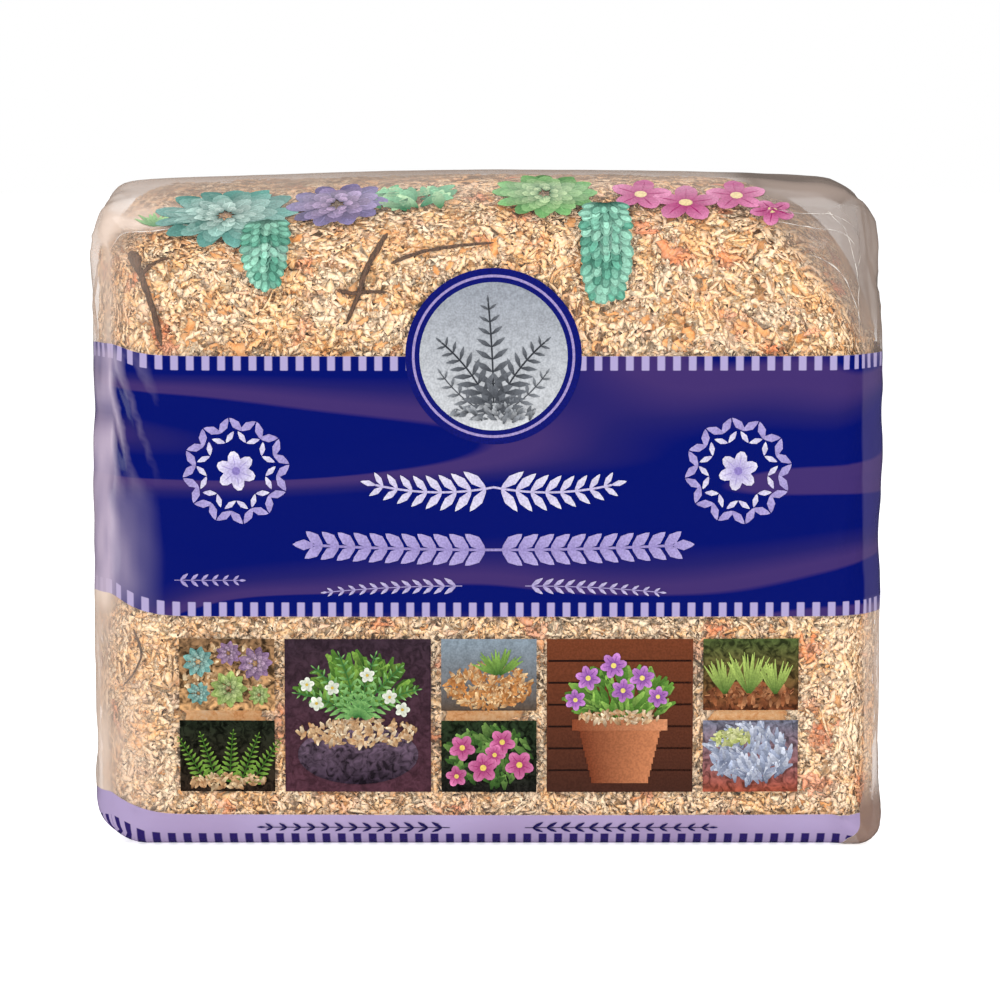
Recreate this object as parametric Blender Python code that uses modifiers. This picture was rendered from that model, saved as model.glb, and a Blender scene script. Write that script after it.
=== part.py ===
"""A compressed bale of sphagnum moss in a clear printed film bag, standing on its narrow side.

Metres, +Z up. The origin is the middle of the footprint, and the printed front looks along -Y.
The bag, the bale inside it and the two ink layers on it share one rounded, crowned box form,
each at its own depth under or over the film's outer face.
"""

import math
import random

import bmesh
import bpy
from mathutils import Vector, noise
from mathutils.geometry import delaunay_2d_cdt

# Driving sizes of the whole bag
WIDTH = 0.254
DEPTH = 0.089
HEIGHT = 0.212

# Walls and the clearances between touching pieces
FILM_WALL = 0.0006
INK_WALL = 0.0004
INK_GAP = 0.0003
PROUD = INK_GAP + INK_WALL

# Folded and sealed ends of the film
SEAM_WIDTH = 0.014
SEAM_HEIGHT = 0.0012
TUCK_DEPTH = 0.0022
RIDGE_HEIGHT = 0.0010
RIDGE_SPREAD = 0.006

# How far the stuffed faces bulge past the box they are crowned on
FRONT_CROWN = 0.0038
TOP_CROWN = 0.0036
END_CROWN = 0.0018
SHOULDER_DROP = 0.0058

# The box, before its faces are crowned
HALF_WIDTH = WIDTH / 2 - END_CROWN - RIDGE_HEIGHT - PROUD
HALF_DEPTH = DEPTH / 2 - FRONT_CROWN - PROUD
BOX_HEIGHT = HEIGHT - TOP_CROWN
TOP_RADIUS = 0.022
BOTTOM_RADIUS = 0.012

# The flat sole: how far its corners lie from the sides, its bowed-in edges and the rise round it
SOLE_EDGE = 0.017
SOLE_BOW = 0.004
SOLE_RISE = 0.0010

# Heights of the printed bands
BAND_LOW = 0.075
BAND_HIGH = 0.157
FOOT_LOW = 0.0012
FOOT_HIGH = 0.0115

# The vent punched through the back of the bag
VENT_RADIUS = 0.003
VENT_HEIGHT = 0.116

# The moss bale and the sprigs on it
BALE_INSET = 0.0040
SLUMP_START = 0.070
SLUMP_RADIUS = 0.060
SLUMP_BASE = 0.100
VALLEY = -0.0024
SPRIG_LENGTHS = (0.018, 0.030)
SPRIG_WIDTHS = (0.0078, 0.0110)
SPRIG_RISES = (0.0010, 0.0027)
SPRIG_BEND = 16.0
SPRIG_SPACING = 0.60
SPRIG_MISSES = 1500
SPRIG_FLOOR = 0.010
LEAN_SIZE = 0.045
SIDE_MARGIN = 0.0015
RIM_STEP = 0.011
TWIG_LIFT = 0.0005
TWIG_CHANNEL = 0.0021
CHANNEL_FLOOR = -0.0007
TWIG_CROOK = 0.0008
TWIG_CROOK_SIZE = 0.006
SEED = 41

# Routes of the plant debris pressed against the front, as (x, z)
TWIG_ROUTES = {
    "bark_strip": (0.0012, [(-0.1135, 0.193), (-0.109, 0.184), (-0.105, 0.172), (-0.102, 0.160)]),
    "twig_middle": (0.0010, [(-0.031, 0.197), (-0.037, 0.185), (-0.0405, 0.176), (-0.044, 0.167)]),
    "twig_thin": (0.0007, [(-0.030, 0.186), (-0.021, 0.1895), (-0.010, 0.1915), (0.002, 0.1925)]),
    "root_hair": (0.0006, [(-0.112, 0.0705), (-0.109, 0.063), (-0.1115, 0.0565), (-0.117, 0.052)]),
}
TWIG_STEPS = 4

# Colours, as linear red, green, blue and alpha
FINISHES = {
    "clear_film": ((0.80, 0.78, 0.76, 0.35), 0.18),
    "navy_ink": ((0.018, 0.012, 0.130, 1.0), 0.25),
    "lavender_ink": ((0.46, 0.36, 0.60, 1.0), 0.30),
    "dry_moss": ((0.70, 0.47, 0.26, 1.0), 0.95),
    "bark": ((0.19, 0.11, 0.06, 1.0), 0.90),
}


def smooth(value):
    """A smooth step from 0 to 1 as value goes from 0 to 1."""
    t = min(max(value, 0.0), 1.0)
    return t * t * (3 - 2 * t)


def material(name):
    """The Principled material of that name, made once."""
    found = bpy.data.materials.get(name)
    if found:
        return found
    colour, roughness = FINISHES[name]
    made = bpy.data.materials.new(name)
    made.use_nodes = True
    shader = made.node_tree.nodes["Principled BSDF"]
    shader.inputs["Base Color"].default_value = (*colour[:3], 1.0)
    shader.inputs["Alpha"].default_value = colour[3]
    shader.inputs["Roughness"].default_value = roughness
    return made


def clear_scene():
    """Removes every object that the startup scene holds."""
    for obj in list(bpy.data.objects):
        bpy.data.objects.remove(obj)


def collection_named(name, parent):
    """A new collection inside parent."""
    made = bpy.data.collections.new(name)
    parent.children.link(made)
    return made


def move_to(obj, collection):
    """Puts obj in that collection alone."""
    for old in list(obj.users_collection):
        old.objects.unlink(obj)
    collection.objects.link(obj)


def end_relief(y, z):
    """How far a sealed end stands out: tucked triangles, fold ridges and the seam folded flat."""
    edge = min(z, BOX_HEIGHT - z)
    inside = HALF_DEPTH - abs(y) - edge
    tuck = -TUCK_DEPTH * smooth(inside / HALF_DEPTH)
    ridge = RIDGE_HEIGHT * math.exp(-((inside / RIDGE_SPREAD) ** 2))
    on_seam = smooth((y + 0.002) / 0.004) * smooth((SEAM_WIDTH - y) / 0.004)
    return tuck + ridge + SEAM_HEIGHT * on_seam * smooth((edge - 0.018) / 0.012)


def film_wave(x, z):
    """The slow waves of stretched film on the front and back, in metres."""
    slow = math.sin(x * 31 + z * 58) + math.sin(z * 96 - x * 17 + 1.3)
    return 0.00022 * slow


def sole_shift(corner, down):
    """Moves a point of the bag's underside, so that the bag stands on the four corners of its flat sole."""
    flat_x, flat_y = HALF_WIDTH - SOLE_EDGE, HALF_DEPTH - SOLE_EDGE
    beyond = max(abs(corner.x) - flat_x, abs(corner.y) - flat_y, 0.0)
    rise = SOLE_RISE * smooth(beyond / 0.005) * smooth(down / 0.6)
    bow_x = max(1 - (corner.y / flat_y) ** 2, 0.0) * corner.x / flat_x
    bow_y = max(1 - (corner.x / flat_x) ** 2, 0.0) * corner.y / flat_y
    return Vector((-bow_x, -bow_y, 0)) * SOLE_BOW * smooth(down / 0.6) + Vector((0, 0, rise))


def bag_point(corner, depth, folds):
    """A point of the plain box, rounded, crowned and moved depth under the film's outer face."""
    radius = BOTTOM_RADIUS + (TOP_RADIUS - BOTTOM_RADIUS) * corner.z / BOX_HEIGHT
    inner = Vector((
        min(max(corner.x, radius - HALF_WIDTH), HALF_WIDTH - radius),
        min(max(corner.y, radius - HALF_DEPTH), HALF_DEPTH - radius),
        min(max(corner.z, BOTTOM_RADIUS), BOX_HEIGHT - TOP_RADIUS),
    ))
    out = (corner - inner).normalized()
    point = inner + out * radius
    across = max(1 - (point.x / HALF_WIDTH) ** 2, 0.0)
    along = max(1 - (point.y / HALF_DEPTH) ** 2, 0.0)
    up = max(1 - (2 * point.z / BOX_HEIGHT - 1) ** 2, 0.0)
    swell = FRONT_CROWN * (across * up) ** 0.45 + folds * film_wave(point.x, point.z)
    point.y += out.y * abs(out.y) * swell
    end = END_CROWN * (along * up) ** 0.5 + folds * end_relief(point.y, point.z)
    point.x += out.x * abs(out.x) * end
    lift = max(out.z, 0.0)
    point.z += lift * TOP_CROWN * across * along ** 0.4
    left = smooth(-point.x / HALF_WIDTH * 1.3)
    front = smooth(0.5 - point.y / HALF_DEPTH / 2)
    point.z -= SHOULDER_DROP * left * front * smooth((point.z / BOX_HEIGHT - 0.86) / 0.14)
    point += sole_shift(corner, -out.z)
    point -= out * depth
    return Vector((point.x, point.y, max(point.z, depth)))


def cut_box(name, cuts, collection):
    """The plain box as a cube primitive, cut across each axis at the given shares of its size."""
    bpy.ops.mesh.primitive_cube_add(size=1, location=(0, 0, 0))
    box = bpy.context.object
    box.name = box.data.name = name
    move_to(box, collection)
    size = Vector((2 * HALF_WIDTH, 2 * HALF_DEPTH, BOX_HEIGHT))
    mesh = bmesh.new()
    mesh.from_mesh(box.data)
    for vertex in mesh.verts:
        vertex.co = Vector([vertex.co[i] * size[i] for i in range(3)]) + Vector((0, 0, BOX_HEIGHT / 2))
    for axis, shares in enumerate(cuts):
        normal = Vector([float(i == axis) for i in range(3)])
        low = Vector((-HALF_WIDTH, -HALF_DEPTH, 0))
        for share in shares:
            bmesh.ops.bisect_plane(
                mesh,
                geom=mesh.verts[:] + mesh.edges[:] + mesh.faces[:],
                plane_co=low + normal * share * size[axis],
                plane_no=normal,
            )
    mesh.to_mesh(box.data)
    mesh.free()
    return box


def edge_cuts(size, radius, spans):
    """Shares at which to cut one axis: two in each rounded edge, and spans even ones between."""
    edge = radius / size
    near = [edge * (1 - math.tan(math.pi / 8)), edge]
    even = [edge + (1 - 2 * edge) * i / spans for i in range(1, spans)]
    return near + even + [1 - share for share in reversed(near)]


def shape_box(obj, depth, folds):
    """Moves a cut box's vertices to the bag's form."""
    for vertex in obj.data.vertices:
        vertex.co = bag_point(vertex.co, depth, folds)


def dress(obj, name, smooth_angle=math.radians(40)):
    """Gives the object its material and smooth shading with sharp creases."""
    obj.data.materials.clear()
    obj.data.materials.append(material(name))
    if obj.type == "MESH":
        obj.data.shade_smooth()
        obj.data.set_sharp_from_angle(angle=smooth_angle)


def solidify(obj, wall, offset):
    """A wall on an open or closed surface: offset -1 is inward and 1 is outward."""
    wall_modifier = obj.modifiers.new("wall", "SOLIDIFY")
    wall_modifier.thickness = wall
    wall_modifier.offset = offset
    wall_modifier.use_even_offset = False


def bag_cuts():
    """The cuts that the film and both ink layers share."""
    return (
        edge_cuts(2 * HALF_WIDTH, SOLE_EDGE, 9),
        edge_cuts(2 * HALF_DEPTH, SOLE_EDGE, 5),
        sorted(
            edge_cuts(BOX_HEIGHT, SOLE_EDGE, 4)
            + [height / BOX_HEIGHT for height in (FOOT_LOW, FOOT_HIGH, BAND_LOW, 0.095, BAND_HIGH)]
        ),
    )


def film_bag(collection, cutters):
    """The clear bag: a thin wall all round, with a punched vent in the back."""
    bag = cut_box("film_bag", bag_cuts(), collection)
    shape_box(bag, 0.0, 1.0)
    solidify(bag, FILM_WALL, -1)
    bpy.ops.mesh.primitive_cylinder_add(
        vertices=12,
        radius=VENT_RADIUS,
        depth=0.006,
        location=(0, DEPTH / 2 - PROUD - 0.0015, VENT_HEIGHT),
        rotation=(math.pi / 2, 0, 0),
    )
    punch = bpy.context.object
    punch.name = "vent_punch"
    punch.hide_render = True
    punch.display_type = "WIRE"
    move_to(punch, cutters)
    vent = bag.modifiers.new("vent", "BOOLEAN")
    vent.operation = "DIFFERENCE"
    vent.object = punch
    dress(bag, "clear_film")
    return bag


def ink_layer(name, low, high, finish, collection):
    """A printed band right round the bag, between two heights."""
    band = cut_box(name, bag_cuts(), collection)
    mesh = bmesh.new()
    mesh.from_mesh(band.data)
    outside = [f for f in mesh.faces if not low < f.calc_center_median().z < high or abs(f.normal.z) > 0.5]
    bmesh.ops.delete(mesh, geom=outside, context="FACES")
    mesh.to_mesh(band.data)
    mesh.free()
    shape_box(band, -INK_GAP, 1.0)
    solidify(band, INK_WALL, 1)
    dress(band, finish)
    return band


def slumped(point):
    """Rounds off the bale's top right corner, where the moss has settled away from the film."""
    over = point.x - SLUMP_START
    if over > 0 and point.z > SLUMP_BASE:
        drop = SLUMP_RADIUS - math.sqrt(SLUMP_RADIUS**2 - over**2)
        point.z -= drop * (point.z - SLUMP_BASE) / (BOX_HEIGHT - SLUMP_BASE)
    return point


def on_segment(point, start, end):
    """The distance from a flat point to a flat segment."""
    run = end - start
    share = min(max((point - start).dot(run) / run.length_squared, 0), 1)
    return (point - start - run * share).length


def banks(route):
    """The outline of the channel along a flat route: out along one side and back along the other."""
    knots = route[::2]
    turns = [after - before for before, after in zip(knots[:1] + knots, knots[1:] + knots[-1:])]
    squares = [Vector((-turn.y, turn.x)).normalized() * TWIG_CHANNEL * 0.9 for turn in turns]
    ends = [turn.normalized() * TWIG_CHANNEL * 0.8 for turn in (turns[0], turns[-1])]
    middle = [knots[0] - ends[0], *knots[1:-1], knots[-1] + ends[1]]
    out = [knot + square for knot, square in zip(middle, squares)]
    return out + [knot - square for knot, square in zip(reversed(middle), reversed(squares))]


class Sprig:
    """One curved moss branch lying flat on the bale: a ridge that falls away to a lens-shaped outline."""

    def __init__(self, place, turn, draw):
        self.place = place
        self.along = Vector((math.cos(turn), math.sin(turn)))
        self.across = Vector((-self.along.y, self.along.x))
        self.half = draw.uniform(*SPRIG_LENGTHS) / 2
        self.wide = draw.uniform(*SPRIG_WIDTHS) / 2
        self.bend = draw.uniform(-SPRIG_BEND, SPRIG_BEND)
        self.rise = draw.uniform(*SPRIG_RISES)

    def at(self, run, aside):
        """The flat point at shares run of the half length and aside of the half width there."""
        reach = run * self.half
        off = aside * self.wide * (1 - run * run) + self.bend * reach * reach
        return self.place + self.along * reach + self.across * off

    def outline(self):
        """The outline, tip to tip and back."""
        return [self.at(*spot) for spot in ((-1, 0), (-0.4, -1), (0.4, -1), (1, 0), (0.4, 1), (-0.4, 1))]

    def ridge(self):
        """The two points of the ridge between the tips."""
        return [self.at(-0.45, 0), self.at(0.45, 0)]

    def height(self, point):
        """How high the sprig stands at a flat point, or None outside it."""
        away = point - self.place
        run = away.dot(self.along) / self.half
        if abs(run) >= 1:
            return None
        aside = away.dot(self.across) - self.bend * (run * self.half) ** 2
        share = 1 - abs(aside) / (self.wide * (1 - run * run) + 1e-9)
        return VALLEY + (self.rise - VALLEY) * share * (1 - run**4) if share > 0 else None

    def clashes(self, other):
        """True if the two lie over each other by more than their edges."""
        apart = other.place - self.place
        if apart.length > self.half + other.half:
            return False
        for one, two in ((self, other), (other, self)):
            run = abs(apart.dot(one.along)) / (one.half + 0.55 * two.half)
            aside = abs(apart.dot(one.across)) / (one.wide + two.wide)
            if run**2 + aside**2 < SPRIG_SPACING:
                return True
        return False


class Side:
    """One side of the bale, laid flat: its two axes on the box, and what covers it."""

    def __init__(self, name, origin, first, second, size, ticks):
        self.name = name
        self.origin, self.first, self.second = Vector(origin), Vector(first), Vector(second)
        self.size = size
        self.ticks = ticks
        self.sprigs = []
        self.channels = []

    def corner(self, flat):
        """The place on the plain box of a point on the laid-out side."""
        return self.origin + self.first * flat.x + self.second * flat.y

    def clear(self, point):
        """True where the film is clear over this point, so that the moss there shows."""
        z = self.corner(point).z
        return SPRIG_FLOOR < z < BAND_LOW + 0.001 or z > BAND_HIGH - 0.001

    def scatter(self, draw):
        """Covers what shows of the side in sprigs that follow one another's lean, as pressed moss does."""
        misses = 0
        while misses < SPRIG_MISSES:
            misses += 1
            place = Vector((draw.uniform(0, self.size[0]), draw.uniform(0, self.size[1])))
            lean = noise.noise(self.corner(place) / LEAN_SIZE)
            made = Sprig(place, 2 * math.pi * lean * 1.6 + draw.uniform(-0.7, 0.7), draw)
            points = made.outline()
            if not all(self.holds(point) and self.clear(point) for point in points):
                continue
            middles = [(one + two) / 2 for one, two in zip(points, points[1:])]
            if any(self.near_twig(point) for point in [*points, *middles, *made.ridge()]):
                continue
            if not any(made.clashes(other) for other in self.sprigs):
                self.sprigs.append(made)
                misses = 0

    def holds(self, point):
        """True if a point is inside this side, clear of its edges."""
        return all(SIDE_MARGIN < point[i] < self.size[i] - SIDE_MARGIN for i in (0, 1))

    def near_twig(self, point):
        """True if a point is in the channel that a twig lies in."""
        return any(
            on_segment(point, start, end) < TWIG_CHANNEL * 1.3
            for route in self.channels
            for start, end in zip(route, route[1:])
        )

    def height(self, point):
        """The relief at a flat point: the highest sprig there, or the valley between sprigs."""
        if self.near_twig(point):
            return CHANNEL_FLOOR
        near = [sprig for sprig in self.sprigs if (sprig.place - point).length < sprig.half * 1.2]
        found = [sprig.height(point) for sprig in near]
        return max([height for height in found if height is not None], default=VALLEY)

    def points_and_edges(self):
        """The flat points to triangulate and the edges to keep: rim, sprigs, twig channels and fillers."""
        points, edges = [], []

        def chain(line, closed):
            start = len(points)
            points.extend(line)
            edges.extend((start + i, start + i + 1) for i in range(len(line) - 1))
            if closed:
                edges.append((start + len(line) - 1, start))

        (first, second), (wide, high) = self.ticks, self.size
        rim = [Vector((a, 0)) for a in first] + [Vector((wide, b)) for b in second[1:]]
        rim += [Vector((a, high)) for a in reversed(first[:-1])]
        rim += [Vector((0, b)) for b in reversed(second[1:-1])]
        chain(rim, True)
        for made in self.sprigs:
            outline, ridge = made.outline(), made.ridge()
            chain(outline, True)
            start = len(points)
            points.extend(ridge)
            edges.extend([(start - len(outline), start), (start, start + 1), (start + 1, start - 3)])
        for route in self.channels:
            chain(banks(route), True)
        for a in first[1:-1:2]:
            points.extend(Vector((a, b)) for b in second[1:-1] if not self.clear(Vector((a, b))))
        return points, edges

    def add_to(self, mesh):
        """Triangulates the side and adds it to the bale's mesh, at its place and height."""
        points, edges = self.points_and_edges()
        flat, _, faces, _, _, _ = delaunay_2d_cdt(points, edges, [], 0, 1e-6, False)
        corners = []
        for point in flat:
            rim = min(point.x, point.y, self.size[0] - point.x, self.size[1] - point.y) < 1e-5
            height = 0.0 if rim else self.height(point)
            corners.append(mesh.verts.new(slumped(bag_point(self.corner(point), BALE_INSET - height, 0.0))))
        for face in faces:
            mesh.faces.new([corners[i] for i in face])


def ticks_along(size, step, extra=()):
    """Places along one edge of the box, about a step apart, with any extra ones."""
    count = max(2, round(size / step))
    return sorted([size * i / count for i in range(count + 1)] + list(extra))


def bale_sides():
    """The six sides of the bale, sharing the points along their common edges."""
    wide, deep, high = 2 * HALF_WIDTH, 2 * HALF_DEPTH, BOX_HEIGHT
    along_x = ticks_along(wide, RIM_STEP)
    along_y = ticks_along(deep, RIM_STEP)
    along_z = ticks_along(BAND_LOW, RIM_STEP) + [0.102, 0.130]
    along_z += [BAND_HIGH + z for z in ticks_along(high - BAND_HIGH, RIM_STEP)]
    low, x, y, z = (-HALF_WIDTH, -HALF_DEPTH, 0), (1, 0, 0), (0, 1, 0), (0, 0, 1)
    return [
        Side("front", low, x, z, (wide, high), (along_x, along_z)),
        Side("back", (-HALF_WIDTH, HALF_DEPTH, 0), x, z, (wide, high), (along_x, along_z)),
        Side("left", low, y, z, (deep, high), (along_y, along_z)),
        Side("right", (HALF_WIDTH, -HALF_DEPTH, 0), y, z, (deep, high), (along_y, along_z)),
        Side("top", (-HALF_WIDTH, -HALF_DEPTH, high), x, y, (wide, deep), (along_x, along_y)),
        Side("bottom", low, x, y, (wide, deep), (along_x, along_y)),
    ]


def moss_bale(collection):
    """The bale, covered wherever the film is clear in sprigs larger than life."""
    draw = random.Random(SEED)
    mesh = bmesh.new()
    for side in bale_sides():
        if side.name == "front":
            for _, route in TWIG_ROUTES.values():
                side.channels.append([Vector((x + HALF_WIDTH, z)) for x, z in route_points(route)])
        side.scatter(draw)
        side.add_to(mesh)
    bmesh.ops.remove_doubles(mesh, verts=mesh.verts[:], dist=1e-5)
    bmesh.ops.recalc_face_normals(mesh, faces=mesh.faces[:])
    data = bpy.data.meshes.new("moss_bale")
    mesh.to_mesh(data)
    mesh.free()
    bale = bpy.data.objects.new("moss_bale", data)
    collection.objects.link(bale)
    dress(bale, "dry_moss")
    return bale


def route_points(route):
    """A route's points with steps between them, still as (x, z)."""
    found = []
    for start, end in zip(route, route[1:]):
        for step in range(TWIG_STEPS):
            share = step / TWIG_STEPS
            x, z = (start[axis] + (end[axis] - start[axis]) * share for axis in (0, 1))
            found.append((x + TWIG_CROOK * noise.noise(Vector((x, 0, z)) / TWIG_CROOK_SIZE), z))
    return [*found, route[-1]]


def twig(name, collection):
    """A stem or strip of bark lying in its channel between the bale and the film."""
    radius, route = TWIG_ROUTES[name]
    data = bpy.data.curves.new(name, "CURVE")
    data.dimensions = "3D"
    data.bevel_depth = radius
    data.bevel_resolution = 1
    data.use_fill_caps = True
    knots = route_points(route)
    line = data.splines.new("POLY")
    line.points.add(len(knots) - 1)
    for knot, (x, z) in zip(line.points, knots):
        depth = BALE_INSET - CHANNEL_FLOOR - radius - TWIG_LIFT
        knot.co = (*bag_point(Vector((x, -HALF_DEPTH, z)), depth, 0.0), 1)
    made = bpy.data.objects.new(name, data)
    collection.objects.link(made)
    made.data.materials.append(material("bark"))
    return made


def main():
    """Builds the bag, the bale and the ink layers."""
    clear_scene()
    scene = bpy.context.scene.collection
    parts = collection_named("bagged_moss_bale", scene)
    cutters = collection_named("cutters", scene)
    cutters.hide_render = True
    film_bag(parts, cutters)
    ink_layer("band_ink", BAND_LOW, BAND_HIGH, "navy_ink", parts)
    ink_layer("foot_ink", FOOT_LOW, FOOT_HIGH, "lavender_ink", parts)
    moss_bale(parts)
    for name in TWIG_ROUTES:
        twig(name, parts)


main()
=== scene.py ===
"""A bagged sphagnum moss bale: the printed film, its pictures, and the moss that shows through it.

Lengths are in metres, +Z up, and the printed front looks along -Y. Everything on or in the bag is
placed through one form, BagForm, which turns a point of a plain box into a point of the stuffed bag.
"""

import logging
import math
from dataclasses import dataclass, field
from enum import Enum

import bmesh
import bpy
import numpy as np
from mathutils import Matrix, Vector, noise


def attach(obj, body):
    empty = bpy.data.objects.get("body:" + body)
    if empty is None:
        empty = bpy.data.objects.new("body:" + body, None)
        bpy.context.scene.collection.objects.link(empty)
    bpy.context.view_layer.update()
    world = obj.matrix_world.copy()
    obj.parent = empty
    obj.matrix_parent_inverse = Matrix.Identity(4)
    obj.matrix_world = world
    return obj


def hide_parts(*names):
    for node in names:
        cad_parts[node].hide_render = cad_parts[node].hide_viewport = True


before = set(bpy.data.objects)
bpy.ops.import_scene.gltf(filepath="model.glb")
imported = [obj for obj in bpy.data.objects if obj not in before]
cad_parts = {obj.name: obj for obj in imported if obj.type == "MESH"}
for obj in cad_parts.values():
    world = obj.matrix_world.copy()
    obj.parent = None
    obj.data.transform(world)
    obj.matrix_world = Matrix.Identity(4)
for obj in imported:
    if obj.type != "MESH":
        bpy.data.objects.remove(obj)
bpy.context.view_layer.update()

LOG = logging.getLogger("bagged_moss")

FILM_ATTRIBUTE = "haze"
TINT_ATTRIBUTE = "tint"
PRINT_MAP = "print"

Array = np.ndarray
Pair = tuple[float, float]
Source = bpy.types.Node | bpy.types.NodeSocket


def linear(code: str, alpha: float = 1.0) -> tuple[float, float, float, float]:
    """Turns an sRGB hex colour to linear.

    Args:
        code: Six hex digits, such as "e2ba94".
        alpha: The fourth number of the result.

    Returns:
        Linear red, green and blue, and alpha.
    """
    parts = [int(code[i : i + 2], 16) / 255 for i in (0, 2, 4)]
    red, green, blue = (p / 12.92 if p <= 0.04045 else ((p + 0.055) / 1.055) ** 2.4 for p in parts)
    return red, green, blue, alpha


def inks(*codes: str) -> Array:
    """Linear red, green and blue of hex colours, one row each."""
    return np.array([linear(code)[:3] for code in codes])


def blank(name: str) -> tuple[bpy.types.Material, bpy.types.NodeTree]:
    """A new material, and its node tree with nothing in it."""
    made = bpy.data.materials.new(name)
    made.use_nodes = True
    made.node_tree.nodes.clear()
    return made, made.node_tree


def add(tree: bpy.types.NodeTree, kind: str, sockets: dict | None = None, **settings) -> bpy.types.Node:
    """Adds a node with its settings and links.

    Args:
        tree: The node tree it goes in.
        kind: The node's type name, less the "ShaderNode" at its start.
        sockets: Values, output sockets or nodes by the input's name or number. A node is linked from its
            first output.
        **settings: The node's own properties. "stops" gives a ramp's places and colours.

    Returns:
        The new node.
    """
    node = tree.nodes.new("ShaderNode" + kind)
    for name, value in settings.items():
        if name != "stops":
            setattr(node, name, value)
            continue
        while len(node.color_ramp.elements) < len(value):
            node.color_ramp.elements.new(1.0)
        for element, (position, code) in zip(node.color_ramp.elements, value):
            element.position, element.color = position, linear(code)
    for key, value in (sockets or {}).items():
        if isinstance(value, bpy.types.Node):
            value = value.outputs[0]
        if isinstance(value, bpy.types.NodeSocket):
            tree.links.new(value, node.inputs[key])
        else:
            node.inputs[key].default_value = value
    return node


def smooth(value: Array) -> Array:
    """A smooth step from 0 to 1 as value goes from 0 to 1."""
    t = np.clip(value, 0.0, 1.0)
    return t * t * (3 - 2 * t)


def waves(points: Array, size: tuple[float, float, float], shift: float) -> Array:
    """Smooth noise over points.

    Args:
        points: The places, N by 3.
        size: How far a bump reaches along each axis.
        shift: Moves the pattern, so that two uses differ.

    Returns:
        N values from about -1 to 1.
    """
    scaled = points / np.array(size) + shift
    return np.fromiter((noise.noise(Vector(p)) for p in scaled), float, len(scaled))


def headings(angles: Array) -> Array:
    """Steps of length 1 along angles, N by 2."""
    return np.stack([np.cos(angles), np.sin(angles)], axis=1)


def spread_out(places: Array, turns: Array, ahead: Array, aside: Array) -> Array:
    """Lays the points of copied shapes on a flat sheet.

    Args:
        places: The copies' middles, N by 2.
        turns: The copies' headings, N by 1.
        ahead: How far along its copy's heading each point lies, N by M.
        aside: How far to the left of it each point lies, N by M.

    Returns:
        The points of all the copies, one copy after the other, NM by 2.
    """
    first = places[:, :1] + ahead * np.cos(turns) - aside * np.sin(turns)
    second = places[:, 1:] + ahead * np.sin(turns) + aside * np.cos(turns)
    return np.stack([first.ravel(), second.ravel()], axis=1)


def copied(triangles: Array, each: int, count: int) -> Array:
    """The triangles of count copies of a shape that has each vertices."""
    return (triangles[None] + each * np.arange(count)[:, None, None]).reshape(-1, 3)


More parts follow.
